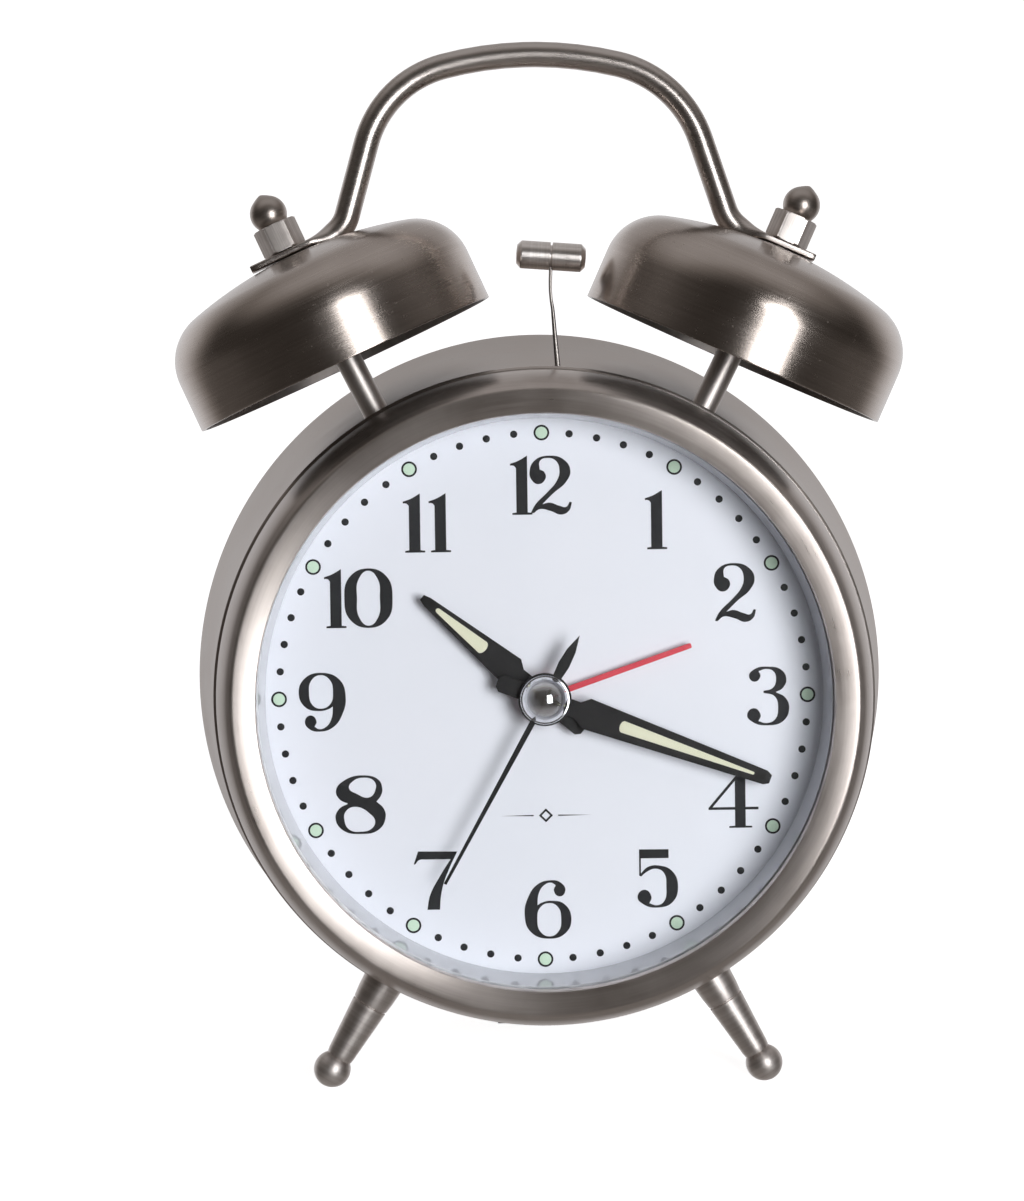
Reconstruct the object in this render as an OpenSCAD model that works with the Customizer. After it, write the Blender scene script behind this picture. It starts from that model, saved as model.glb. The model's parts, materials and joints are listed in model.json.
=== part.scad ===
// Twin-bell alarm clock: a round flared metal case leaning back on two ball feet and
// a rear rest pad, with two bells, a striking hammer, a carrying handle, four hands
// and a quartz movement. Millimetres, +Z up, the dial faces -Y.
// The origin is on the ground, under the middle of the bounding box.
//
// Most pieces are drawn in the clock frame: X right, Y depth behind the dial, Z up,
// origin where the hand arbor meets the dial. clock_frame() leans that frame back.

/* [Stance] */
// Backward lean of the clock, degrees
lean = 10.4; // [10.2:0.1:10.6]
// Shift that puts the origin under the middle of the depth
frame_shift_y = -15.5; // [-25:0.1:-10]

/* [Case] */
// Outer radius of the case drum at its front edge
drum_front_r = 52.6; // [52.4:0.1:52.7]
// Outer radius of the case drum at its rear edge
drum_rear_r = 58; // [57.6:0.1:58.2]
// Depth of the flared wall behind the dial
drum_depth = 42; // [40:0.5:44]
// Thickness of the sheet metal
sheet = 0.8; // [0.6:0.1:1]
// Radius of the bezel's opening
opening_r = 46.5; // [46:0.1:47]
// Radius of the bezel's rear flange
flange_r = 53.8; // [53.5:0.1:54.2]
// Height of the bezel's crown in front of the dial
bezel_h = 13.2; // [12.8:0.1:13.6]
// Radius of the dial that shows
dial_r = 45.3; // [44:0.1:46]

/* [Bells] */
// Radius of a bell's rim
bell_r = 25.9; // [25:0.1:26.5]
// Height of a bell from rim plane to crown
bell_h = 19.8; // [19:0.1:21]
// Radius of the rounded shoulder
bell_shoulder = 9; // [7:0.5:10]
// Radius of the shallow dome
bell_dome = 70; // [60:1:90]
// Wall thickness of a bell
bell_wall = 0.9; // [0.7:0.1:1.2]
// Sideways distance of a rim's centre from the clock axis
bell_x = 31.6; // [31:0.1:32.5]
// Height of a rim's centre above the clock axis
bell_z = 54.3; // [53.8:0.1:55]
// Depth of a rim's centre behind the dial
bell_y = 7.2; // [7:0.1:7.5]
// Outward tilt of a bell, degrees
bell_tilt = 24.3; // [23.5:0.1:25]
// Backward tilt of a bell against the clock frame, degrees
bell_back = 2.4; // [1:0.1:4]
// Radius of a bell post
post_r = 2.15; // [2:0.05:2.3]

/* [Handle] */
// Radius of the handle rod
rod_r = 2.1; // [1.8:0.1:2.3]
// Height of the rod's centre above the clock axis
handle_top = 104.4; // [104:0.1:105]

/* [Feet] */
// Sideways distance of a ball foot's centre
foot_x = 35.65; // [34:0.1:37]
// Distance of a ball foot's centre below the clock axis
foot_z = 61.75; // [61:0.05:62]
// Radius of the ball
foot_ball_r = 3.05; // [2.9:0.05:3.2]
// Outward tilt of a leg, degrees
foot_tilt = 31; // [28:0.5:33]

/* [Hands] */
// Clock angle of the hour hand at rest, degrees from 12
hour_angle = 310.3; // [0:0.1:360]
// Clock angle of the minute hand at rest
minute_angle = 110.5; // [0:0.1:360]
// Clock angle of the second hand at rest
second_angle = 209.1; // [0:0.1:360]
// Clock angle of the alarm hand at rest
alarm_angle = 71.1; // [0:0.1:360]

/* [Hidden] */
$fn = 96;
eps = 0.01;

// Depths, measured behind the dial face
hammer_y = 7;
foot_y = 7;
flat_depth = 0.17;
ground_h = foot_y * sin(lean) + foot_z * cos(lean) + foot_ball_r - flat_depth;

// Gear train: modules, teeth and arbor places (X and Z in the clock frame)
motion_m = 0.6;
motion_gap = 12;
motion_dir = 210;
third_m = 0.3;
centre_m = 2 * 10.2 / 72;
third_gap = 10.2;
third_dir = 60;
second_m = 0.3;
reduction_gap = 7.2;
reduction_dir = 170;
rotor_m = 0.25;
rotor_gap = 5.25;
motion_at = motion_gap * [cos(motion_dir), sin(motion_dir)];
time_at = 2 * motion_at;
alarm_at = [-time_at[0], time_at[1]];
third_at = third_gap * [cos(third_dir), sin(third_dir)];
reduction_at = reduction_gap * [cos(reduction_dir), sin(reduction_dir)];
rotor_at = reduction_at - [rotor_gap, 0];

// Gear layers, each [front depth, rear depth]
alarm_layer = [3.2, 4.2];
hour_layer = [4.8, 5.8];
motion_layer = [6.4, 7.4];
centre_layer = [8.2, 9.0];
third_layer = [9.6, 10.4];
second_layer = [11.2, 12];
reduction_layer = [12.6, 13.4];
magnet_layer = [14, 15.6];

// Hand arbor, nested tubes: radii from the inside out, with a running gap of fit
fit = 0.08;
second_shaft_r = 0.6;
minute_tube_r = 1.2;
hour_tube_r = 1.8;
alarm_tube_r = 2.4;

// Movement housing
move_w = 57.4;
move_low = -22;
move_high = 20;
move_front = 0.85;
move_split = 9.3;
move_rear = 18;
move_wall = 1.2;

// Controls and battery on the rear
cover_front = 41.6;
cover_rear = 43.4;
cover_r = 56.3;
knob_r = 6.5;
shaft_r = 1.3;
switch_x = 30;
switch_z = 20;
battery_r = 7.1;
battery_len = 50.5;
battery_z = -33.5;
battery_y = 33;
tray_w = 58;
tray_h = 17.6;
door_w = 60;
door_h = 20;

// Hammer and its motor
hammer_pivot_at = [3.7, 42];
hammer_head_at = [1.9, 71.3];
hammer_head_len = 11.5;
hammer_head_r = 2.3;
motor_at = [3.7, 29.5];
motor_r = 7.6;
crank_r = 1.2;

steel = [0.55, 0.51, 0.49];
brass = [0.78, 0.66, 0.38];
ivory = [0.88, 0.88, 0.84];
dark = [0.10, 0.10, 0.11];

// ---- frames and general shapes ----

module clock_frame() {
    translate([0, frame_shift_y, ground_h])
        rotate([-lean, 0, 0])
            children();
}

// Turns a shape made along +Z to lie along the clock axis, towards the rear
module along_axis() {
    rotate([-90, 0, 0]) children();
}

// A flat outline, drawn as X and Z, between two depths
module slab(front, rear) {
    translate([0, rear, 0])
        rotate([90, 0, 0])
            linear_extrude(rear - front)
                children();
}

// A round bar along the clock axis at a place [x, z]
module axle(at, front, rear, r) {
    translate([at[0], front, at[1]])
        along_axis()
            cylinder(h = rear - front, r = r);
}

function arc_points(centre, r, from, to, steps) =
    [for (i = [0:steps]) let (a = from + (to - from) * i / steps)
        centre + r * [cos(a), sin(a)]];

function reversed(list) = [for (i = [len(list) - 1:-1:0]) list[i]];

// Toothed outline: tooth centres at phase, teeth thin enough to turn freely in mesh
function gear_points(teeth, m, phase) =
    let (pitch = 360 / teeth, tip = m * teeth / 2 + 0.75 * m, root = m * teeth / 2 - m)
    [for (i = [0:teeth - 1], side = [[root, -0.25], [tip, -0.09], [tip, 0.09], [root, 0.25]])
        let (a = phase + pitch * (i + side[1])) side[0] * [cos(a), sin(a)]];

module gear(at, teeth, m, phase, layer) {
    translate([at[0], 0, at[1]])
        slab(layer[0], layer[1])
            polygon(gear_points(teeth, m, phase));
}

module hex_bar(r, h) {
    cylinder(h = h, r = r, $fn = 6);
}

// ---- case ----

// Outer radius of the drum at a depth: a wall that flares more towards the rear
function drum_radius(d) =
    drum_front_r + (drum_rear_r - drum_front_r) * pow(max(d, 0) / drum_depth, 1.25);

module drum_section(inset, rear_lip) {
    steps = 10;
    outer = [for (i = [0:steps]) let (d = drum_depth * i / steps) [drum_radius(d) - inset, d]];
    lip = arc_points([drum_rear_r - inset - 1.6, drum_depth], 1.6, 0, 90, 5);
    wall = concat(outer, rear_lip ? lip : []);
    polygon(concat([[0, 0]], wall, [[0, rear_lip ? drum_depth + 1.6 : drum_depth]]));
}

module drum_solid() {
    along_axis() rotate_extrude() drum_section(0, true);
}

// Wall of the drum: the outline, hollowed to one sheet thickness
module drum_wall() {
    steps = 10;
    outer = [for (i = [0:steps]) let (d = drum_depth * i / steps) [drum_radius(d), d]];
    inner = [for (p = outer) p - [sheet, 0]];
    lip_r = 1.6;
    lip_outer = arc_points([drum_rear_r - lip_r, drum_depth], lip_r, 9, 90, 5);
    lip_inner = arc_points([drum_rear_r - lip_r, drum_depth], lip_r - sheet, 9, 90, 5);
    along_axis()
        rotate_extrude()
            polygon(concat(outer, lip_outer, reversed(lip_inner), reversed(inner)));
}

module case_drum() {
    color(steel)
        clock_frame()
            difference() {
                drum_wall();
                for (side = [-1, 1]) {
                    post_line(side) translate([0, 0, -11]) cylinder(h = 12, r = 1.6);
                    leg_line(side) translate([0, 0, 10]) cylinder(h = 12, r = 1.6);
                }
                slab(hammer_y - 1.5, hammer_y + 1.5)
                    translate([-1.4, 45]) square([6.6, 12]);
            }
}

// Bezel section, [radius, depth]: inner lip, crown, bowed outer wall and rear flange
module front_bezel() {
    bevel_r = 13;
    front = concat([[opening_r, -bezel_h + 0.75]],
                   arc_points([50.2, bevel_r - bezel_h], bevel_r, 254, 270, 4),
                   [for (a = [14:9.5:90]) [50.2 + 3.1 * sin(a), -1.6 - 11.35 * cos(a)]]);
    flange = [[53.3, -1.4], [flange_r, -1.2], [flange_r, 0.5]];
    back = [[52.8, 0.5], [52.8, -1.6], [52.4, -2.8], [50.2, -9.6], [49.6, -11],
            [opening_r, -bezel_h + 3.1]];
    color(steel)
        clock_frame()
            along_axis()
                rotate_extrude()
                    polygon(concat(front, flange, back));
}

module ring(r_in, r_out, front, rear) {
    translate([0, front, 0])
        along_axis()
            difference() {
                cylinder(h = rear - front, r = r_out);
                translate([0, 0, -1]) cylinder(h = rear - front + 2, r = r_in);
            }
}

module front_lens() {
    color([0.85, 0.92, 0.95, 0.35])
        clock_frame()
            axle([0, 0], -10, -8.4, 48.6);
}

module lens_gasket() {
    color(dark)
        clock_frame()
            ring(48.65, 49.5, -10, -7.4);
}

module reflector_ring() {
    color(ivory)
        clock_frame()
            along_axis()
                rotate_extrude()
                    polygon([[opening_r - 0.2, -8.4], [48.5, -8.4], [48.5, -7.3], [50.2, -7.3],
                             [51.4, -2], [51.4, -0.05], [dial_r, -0.05]]);
}

module dial_plate() {
    color([0.88, 0.9, 0.94])
        clock_frame()
            ring(alarm_tube_r + 0.3, 51.4, 0, 0.8);
}

module back_cover() {
    color(dark)
        clock_frame()
            difference() {
                axle([0, 0], cover_front, cover_rear, cover_r);
                for (at = [time_at, alarm_at])
                    axle(at, cover_front - 1, cover_rear + 1, 1.6);
                slab(cover_front - 1, cover_rear + 1) {
                    translate([switch_x - 1.6, switch_z - 4]) square([3.2, 8]);
                    translate([-tray_w / 2, battery_z - tray_h / 2])
                        square([tray_w, tray_h]);
                }
                slab(cover_rear - 1, cover_rear + 1)
                    translate([-door_w / 2 - 0.3, battery_z - door_h / 2 - 0.3])
                        square([door_w + 0.6, door_h + 0.6]);
                for (a = [90, 210, 330])
                    rotate([0, a, 0])
                        axle([52, 0], cover_front - 1, cover_rear + 1, 1.2);
            }
}

module back_screws() {
    color(steel)
        clock_frame()
            for (a = [90, 210, 330])
                rotate([0, a, 0])
                    difference() {
                        union() {
                            axle([52, 0], cover_rear, cover_rear + 1, 2.2);
                            axle([52, 0], cover_front - 7, cover_rear + eps, 1.15);
                        }
                        for (turn = [0, 90])
                            translate([52, cover_rear + 0.8, 0])
                                rotate([0, turn, 0])
                                    cube([3, 1, 0.5], center = true);
                    }
}

// A wedge of rubber between the rear edge of the drum and the ground
module rear_rest_pad() {
    pad_w = 16;
    pad_front = 25.2;
    pad_rear = 31.6;
    color(dark)
        difference() {
            translate([-pad_w / 2, frame_shift_y + pad_front, 0])
                cube([pad_w, pad_rear - pad_front, 2.6]);
            clock_frame() drum_solid($fn = 360);
        }
}

// ---- feet ----

// Frame of a leg: origin at the ball's centre, +Z up the leg
module leg_line(side) {
    translate([side * foot_x, foot_y, -foot_z])
        rotate([0, -side * foot_tilt, 0])
            children();
}

module foot(side) {
    leg = [[0, 0], [1.9, 0], [2.35, 2.2], [3.0, 12], [2.75, 12.2], [2.75, 12.6], [3.1, 12.8],
           [3.4, 15.5], [3.4, 19], [0, 19]];
    color(steel)
        difference() {
            clock_frame()
                union() {
                    difference() {
                        leg_line(side)
                            union() {
                                rotate_extrude() polygon(leg);
                                sphere(r = foot_ball_r);
                            }
                        drum_solid();
                    }
                    leg_line(side) translate([0, 0, 12]) cylinder(h = 10.2, r = 1.5);
                }
            translate([side * foot_x, frame_shift_y, -5]) cube([30, 60, 10], center = true);
        }
}

module foot_left() { foot(-1); }

module foot_right() { foot(1); }

module inner_nut(z) {
    difference() {
        translate([0, 0, z]) hex_bar(3, 2);
        translate([0, 0, z - 1]) cylinder(h = 4, r = 1.55);
    }
}

module foot_nuts() {
    color(brass)
        clock_frame()
            for (side = [-1, 1])
                leg_line(side) inner_nut(19.4);
}

// ---- bells ----

// Frame of a bell: origin at the rim's centre, +Z up the bell's axis
module bell_line(side) {
    translate([side * bell_x, bell_y, bell_z])
        rotate([-bell_back, 0, 0])
            rotate([0, side * bell_tilt, 0])
                children();
}

// Frame of a post: origin on the case wall, +Z towards the bell's crown
post_foot = [29.05, 7, 50.95];
post_tilt = 26.6;
post_len = 21;

module post_line(side) {
    translate([side * post_foot[0], post_foot[1], post_foot[2]])
        rotate([-bell_back, 0, 0])
            rotate([0, side * post_tilt, 0])
                children();
}

// Half section of a bell: skirt, shoulder arc and dome arc, tangent to each other
function bell_outline(r, top, shoulder, dome) =
    let (cx = r - shoulder,
         drop = dome - shoulder,
         cz = top - dome + sqrt(drop * drop - cx * cx),
         lean_in = asin(cx / drop))
    concat([[r, 0]],
           arc_points([cx, cz], shoulder, 0, 90 - lean_in, 12),
           arc_points([0, top - dome], dome, 90 - lean_in, 90, 6));

module bell(side) {
    outer = bell_outline(bell_r, bell_h, bell_shoulder, bell_dome);
    inner = bell_outline(bell_r - bell_wall, bell_h - bell_wall,
                         bell_shoulder - bell_wall, bell_dome - bell_wall);
    color(steel)
        clock_frame()
            bell_line(side)
                difference() {
                    rotate_extrude() polygon(concat(outer, reversed(inner)));
                    translate([0, 0, bell_h - 3]) cylinder(h = 6, r = 1.6);
                }
}

module bell_left() { bell(-1); }

module bell_right() { bell(1); }

strap_t = 1.2;
strap_w = 6.4;
nut_r = 3.7;
nut_h = 4.6;
stud_r = 1.5;
nut_base = bell_h + strap_t + 0.04;
ball_r = 3.05;
ball_z = nut_base + nut_h + 1.9;
crown_y = bell_y + bell_h * cos(bell_tilt) * sin(bell_back);
crown_z = bell_z + bell_h * cos(bell_tilt) * cos(bell_back);

module bell_post(side) {
    color(steel)
        clock_frame() {
            difference() {
                post_line(side)
                    translate([0, 0, -8]) cylinder(h = post_len + 8, r = post_r);
                drum_solid();
            }
            post_line(side) translate([0, 0, -9.8]) cylinder(h = 12, r = stud_r);
            bell_line(side)
                translate([0, 0, bell_h - 4]) cylinder(h = strap_t + nut_h + 4, r = stud_r);
        }
}

module bell_post_left() { bell_post(-1); }

module bell_post_right() { bell_post(1); }

module post_nuts() {
    color(brass)
        clock_frame()
            for (side = [-1, 1])
                post_line(side) inner_nut(-9);
}

module bell_nut(side) {
    color(steel)
        clock_frame()
            bell_line(side)
                translate([0, 0, nut_base])
                    difference() {
                        hex_bar(nut_r, nut_h);
                        translate([0, 0, -1]) cylinder(h = nut_h + 2, r = stud_r + 0.05);
                    }
}

module bell_nut_left() { bell_nut(-1); }

module bell_nut_right() { bell_nut(1); }

// A ball with a flat seat below and a small point on top
module finial(side) {
    color(steel)
        clock_frame()
            bell_line(side)
                difference() {
                    union() {
                        translate([0, 0, ball_z]) sphere(r = ball_r);
                        translate([0, 0, ball_z + 2.2])
                            cylinder(h = 1.7, r1 = 2.1, r2 = 0.3);
                    }
                    translate([0, 0, nut_base + nut_h - 5])
                        cylinder(h = 5, r = 5);
                }
}

module finial_left() { finial(-1); }

module finial_right() { finial(1); }

// ---- handle ----

// The rod's centreline on the right half: a flat top arc, a corner, a straight leg, a
// reverse bend, and an end squashed into a strap. Headings are degrees below level.
top_arc = 62;
top_turn = 14;
corner_arc = 16;
leg_heading = 70;
leg_len = 9.8;
bend_arc = 15;
bend_heading = 45;

function turn_to(heading) = [sin(heading), cos(heading)];

// A station of the rod is [x, z, heading, half width, half thickness, squareness]
function rod_station(p, heading) = [p[0], p[1], heading, rod_r, rod_r, 1];

function rod_bend(centre, r, from, to, steps) =
    [for (i = [0:steps]) let (h = from + (to - from) * i / steps)
        rod_station(centre + r * turn_to(h), h)];

corner_centre = [0, handle_top - top_arc] + (top_arc - corner_arc) * turn_to(top_turn);
leg_end = corner_centre + corner_arc * turn_to(leg_heading)
          + leg_len * [cos(leg_heading), -sin(leg_heading)];
crown_at = [bell_x + bell_h * sin(bell_tilt), crown_z];

// A strap station: distance out from the stud and height above the bell's crown
function strap_station(out, height, heading, half_w, half_t, square) =
    let (p = crown_at + out * [cos(bell_tilt), -sin(bell_tilt)] + height * turn_to(bell_tilt))
    [p[0], p[1], heading, half_w, half_t, square];

right_rod = concat(
    rod_bend([0, handle_top - top_arc], top_arc, 2, top_turn, 2),
    [for (i = [1:9]) rod_bend(corner_centre, corner_arc, top_turn, leg_heading, 9)[i]],
    rod_bend(leg_end + bend_arc * turn_to(leg_heading), -bend_arc, leg_heading, bend_heading, 5),
    [strap_station(-6.4, 1.0, 32, 2.8, 1.2, 0.8),
     strap_station(-4.4, 0.62, bell_tilt, strap_w / 2, strap_t / 2, 0.35),
     strap_station(5.6, 0.62, bell_tilt, strap_w / 2, strap_t / 2, 0.35)]);
left_rod = [for (s = reversed(right_rod)) [-s[0], s[1], -s[2], s[3], s[4], s[5]]];
rod_sides = 20;

function bulge(v, square) = sign(v) * pow(abs(v), square);

function rod_ring(s) =
    [for (j = [0:rod_sides - 1])
        let (a = 360 * j / rod_sides,
             up = s[4] * bulge(sin(a), s[5]),
             across = s[3] * bulge(cos(a), s[5]))
        [s[0] + up * sin(s[2]), across, s[1] + up * cos(s[2])]];

module swept_rod(stations) {
    n = rod_sides;
    last = len(stations) - 1;
    sides = [for (i = [0:last - 1], j = [0:n - 1], half = [0, 1])
        let (k = (j + 1) % n, a = i * n, b = a + n)
        half == 0 ? [a + j, a + k, b + k] : [a + j, b + k, b + j]];
    first_cap = [for (j = [n - 1:-1:0]) j];
    last_cap = [for (j = [0:n - 1]) last * n + j];
    polyhedron([for (s = stations) each rod_ring(s)], concat(sides, [first_cap, last_cap]));
}

// The handle stands in a plane that leans back with the bells
module carry_handle() {
    color(steel)
        clock_frame()
            difference() {
                translate([0, crown_y, crown_z])
                    rotate([-bell_back, 0, 0])
                        translate([0, 0, -crown_z])
                            swept_rod(concat(left_rod, right_rod));
                for (side = [-1, 1])
                    bell_line(side)
                        translate([0, 0, bell_h - 1]) rotate([0, 0, 9]) cylinder(h = 4, r = stud_r + 0.1);
            }
}

// ---- hammer ----

module hammer_head() {
    groove = 0.25;
    tilt = 1.5;
    color(steel)
        clock_frame()
            translate([hammer_head_at[0], hammer_y, hammer_head_at[1]])
                rotate([0, 90 + tilt, 0])
                    translate([0, 0, -hammer_head_len / 2])
                        rotate_extrude()
                            polygon([[0, 0], [1.5, 0.15], [hammer_head_r, 0.9],
                                     [hammer_head_r, 5.5], [hammer_head_r - groove, 5.6],
                                     [hammer_head_r - groove, 5.9], [hammer_head_r, 6],
                                     [hammer_head_r, 10.6], [1.5, 11.35], [0, 11.5]]);
}

module hammer_arm() {
    pivot = hammer_pivot_at;
    color(steel)
        clock_frame()
            difference() {
                union() {
                    slab(hammer_y - 0.8, hammer_y + 0.8)
                        polygon([[pivot[0] - 1, pivot[1]], [2.45, 54], [2.1, 58.7], [1.85, 62.9],
                                 [1.45, 65.8], [1.6, 69.6], [2.0, 69.6], [1.9, 65.8],
                                 [2.35, 62.9], [2.7, 58.7], [3.35, 54], [pivot[0] + 1, pivot[1]]]);
                    slab(hammer_y - 0.8, hammer_y + 0.8)
                        difference() {
                            union() {
                                translate(pivot) circle(r = 2.6);
                                translate([pivot[0] - 6.5, motor_at[1] - 3])
                                    square([13, pivot[1] - motor_at[1] + 1]);
                            }
                            translate([pivot[0] - 5.2, motor_at[1] - 4])
                                square([10.4, 8.4]);
                        }
                }
                axle(pivot, hammer_y - 2, hammer_y + 2, 1 + fit);
            }
}

module hammer_pivot() {
    color(brass)
        clock_frame() {
            axle(hammer_pivot_at, hammer_y - 2.2, hammer_y + 12, 1);
            axle(hammer_pivot_at, hammer_y - 2.6, hammer_y - 1.2, 1.7);
            axle(hammer_pivot_at, hammer_y + 1.2, hammer_y + 3, 1.7);
        }
}

module bell_motor() {
    color([0.7, 0.7, 0.72])
        clock_frame()
            union() {
                axle(motor_at, hammer_y + 4, hammer_y + 23, motor_r);
                slab(hammer_y + 12, hammer_y + 14)
                    translate([motor_at[0] - 5, motor_at[1]])
                        square([10, hammer_pivot_at[1] - motor_at[1] + 2.5]);
            }
}

module motor_crank() {
    color(brass)
        clock_frame() {
            axle(motor_at, hammer_y + 1.2, hammer_y + 3.6, 2.2);
            axle(motor_at + [crank_r, 0], hammer_y - 0.9, hammer_y + 1.3, 0.6);
        }
}

// ---- hands ----

module hand_plane(angle, front, thick) {
    rotate([0, angle, 0])
        slab(front, front + thick)
            children();
}

hand_t = 0.4;
alarm_hand_y = -1.7;
hour_hand_y = -2.8;
minute_hand_y = -4;
second_hand_y = -5.2;

module hour_hand() {
    color(dark)
        clock_frame()
            hand_plane(hour_angle, hour_hand_y, hand_t)
                difference() {
                    union() {
                        circle(r = 3.3);
                        polygon([[-1.45, -8.2], [1.45, -8.2], [1.45, 5.6], [2.4, 7], [0.85, 24],
                                 [0, 25.8], [-0.85, 24], [-2.4, 7], [-1.45, 5.6]]);
                    }
                    circle(r = hour_tube_r - 0.05);
                }
}

module minute_hand() {
    color(dark)
        clock_frame()
            hand_plane(minute_angle, minute_hand_y, hand_t)
                difference() {
                    union() {
                        circle(r = 3.2);
                        polygon([[-1.4, -8.2], [1.4, -8.2], [1.3, 5.8], [2.25, 7.2], [0.75, 37.6],
                                 [0, 38.9], [-0.75, 37.6], [-2.25, 7.2], [-1.3, 5.8]]);
                    }
                    circle(r = minute_tube_r - 0.05);
                }
}

module second_hand() {
    color(dark)
        clock_frame()
            hand_plane(second_angle, second_hand_y, hand_t)
                difference() {
                    union() {
                        circle(r = 4.3);
                        polygon([[-0.45, 0], [0.45, 0], [0.22, 34.1], [-0.22, 34.1]]);
                        polygon([[0.5, 0], [-0.5, 0], [-0.95, -8], [0, -11.8], [0.95, -8]]);
                    }
                    circle(r = second_shaft_r - 0.05);
                }
}

module alarm_hand() {
    color([0.78, 0.2, 0.28])
        clock_frame()
            hand_plane(alarm_angle, alarm_hand_y, hand_t)
                difference() {
                    union() {
                        circle(r = 3.6);
                        polygon([[-0.5, 0], [0.5, 0], [0.4, 25.3], [-0.4, 25.3]]);
                    }
                    circle(r = alarm_tube_r - 0.05);
                }
}

// Domed cap on the end of the second arbor
module hub_cap() {
    cap_r = 4;
    cap_h = 2.7;
    dome_r = (cap_r * cap_r + cap_h * cap_h) / (2 * cap_h);
    color([0.8, 0.8, 0.82])
        clock_frame()
            difference() {
                translate([0, second_hand_y - cap_h + dome_r, 0]) sphere(r = dome_r);
                translate([-10, second_hand_y, -10]) cube([20, 20, 20]);
            }
}

// ---- movement ----

module alarm_wheel() {
    color(ivory)
        clock_frame()
            difference() {
                union() {
                    gear([0, 0], 60, motion_m, 0, alarm_layer);
                    axle([0, 0], alarm_hand_y, alarm_layer[1], alarm_tube_r);
                }
                axle([0, 0], -10, 10, hour_tube_r + fit);
            }
}

module hour_wheel() {
    color(ivory)
        clock_frame()
            difference() {
                union() {
                    gear([0, 0], 32, motion_m, motion_dir + 180 / 32, hour_layer);
                    axle([0, 0], hour_hand_y, hour_layer[1], hour_tube_r);
                }
                axle([0, 0], -10, 10, minute_tube_r + fit);
            }
}

module minute_arbor() {
    color(brass)
        clock_frame()
            difference() {
                union() {
                    gear([0, 0], 10, motion_m, motion_dir + 18, motion_layer);
                    axle([0, 0], minute_hand_y, centre_layer[1] + 0.2, minute_tube_r);
                }
                axle([0, 0], -10, 20, second_shaft_r + fit);
            }
}

module second_arbor() {
    color(brass)
        clock_frame() {
            axle([0, 0], second_hand_y, 15.5, second_shaft_r);
            gear([0, 0], 8, third_m, third_dir, third_layer);
            gear([0, 0], 40, second_m, reduction_dir, second_layer);
        }
}

// Turns on a fixed stud of the rear housing; its pinion drives the hour wheel
module motion_wheel() {
    color(ivory)
        clock_frame()
            difference() {
                union() {
                    gear(motion_at, 30, motion_m, motion_dir - 180, motion_layer);
                    gear(motion_at, 8, motion_m, motion_dir - 180, [hour_layer[0], motion_layer[0] + eps]);
                }
                axle(motion_at, 0, 10, 0.8 + fit);
            }
}

module centre_wheel() {
    color(brass)
        clock_frame()
            difference() {
                gear([0, 0], 64, centre_m, third_dir + 180 / 64, centre_layer);
                axle([0, 0], 5, 12, minute_tube_r + fit);
            }
}

module third_wheel() {
    color(brass)
        clock_frame() {
            axle(third_at, 6.2, 15.5, 0.5);
            gear(third_at, 8, centre_m, third_dir + 180, [centre_layer[0], third_layer[0] + eps]);
            gear(third_at, 60, third_m, third_dir + 183, third_layer);
        }
}

module reduction_wheel() {
    color(ivory)
        clock_frame()
            difference() {
                union() {
                    gear(reduction_at, 8, second_m, reduction_dir - 180 + 22.5,
                         [second_layer[0], reduction_layer[0] + eps]);
                    gear(reduction_at, 36, rotor_m, 0, reduction_layer);
                }
                axle(reduction_at, 10, 15, 0.4 + fit);
            }
}

module motor_rotor() {
    color(dark)
        clock_frame()
            difference() {
                union() {
                    gear(rotor_at, 6, rotor_m, 30, [reduction_layer[0], magnet_layer[0] + eps]);
                    axle(rotor_at, magnet_layer[0], magnet_layer[1], 2.1);
                }
                axle(rotor_at, 10, 18, 0.25);
            }
}

// Two legs rise from the rotor's plate to the coil above it
coil_z = 14;
stator_w = 20;

module stator_plate() {
    leg_w = 5;
    low = rotor_at[1] - 4;
    left = rotor_at[0] - 12;
    color(steel)
        clock_frame()
            slab(14.3, 15.3)
                difference() {
                    union() {
                        translate([left, low]) square([stator_w, 8]);
                        for (x = [left, left + stator_w - leg_w])
                            translate([x, low]) square([leg_w, coil_z + 2.5 - low]);
                    }
                    translate(rotor_at) circle(r = 2.7);
                    translate(reduction_at) circle(r = 0.8);
                }
}

module motor_coil() {
    coil_len = stator_w - 10.6;
    color([0.72, 0.38, 0.2])
        clock_frame()
            translate([rotor_at[0] - 6.7, 14.8, coil_z])
                rotate([0, 90, 0]) {
                    cylinder(h = coil_len, r = 1.6);
                    cylinder(h = 0.8, r = 1.9);
                    translate([0, 0, coil_len - 0.8]) cylinder(h = 0.8, r = 1.9);
                }
}

module circuit_board() {
    color([0.15, 0.4, 0.2])
        clock_frame()
            union() {
                slab(14.2, 15)
                    translate([4, -20]) square([10, 24]);
                slab(12.8, 14.2 + eps)
                    translate([7, -14]) square([4, 5]);
            }
}

// Outline of the movement housing, clear of the knob shafts
module housing_outline(grow) {
    translate([-move_w / 2 - grow, move_low - grow])
        square([move_w + 2 * grow, move_high - move_low + 2 * grow]);
}

module movement_front() {
    color(ivory)
        clock_frame()
            difference() {
                slab(move_front, move_split) housing_outline(0);
                slab(move_front + move_wall, move_split + 1) housing_outline(-move_wall);
                axle([0, 0], -1, 10, alarm_tube_r + fit);
            }
}

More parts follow.
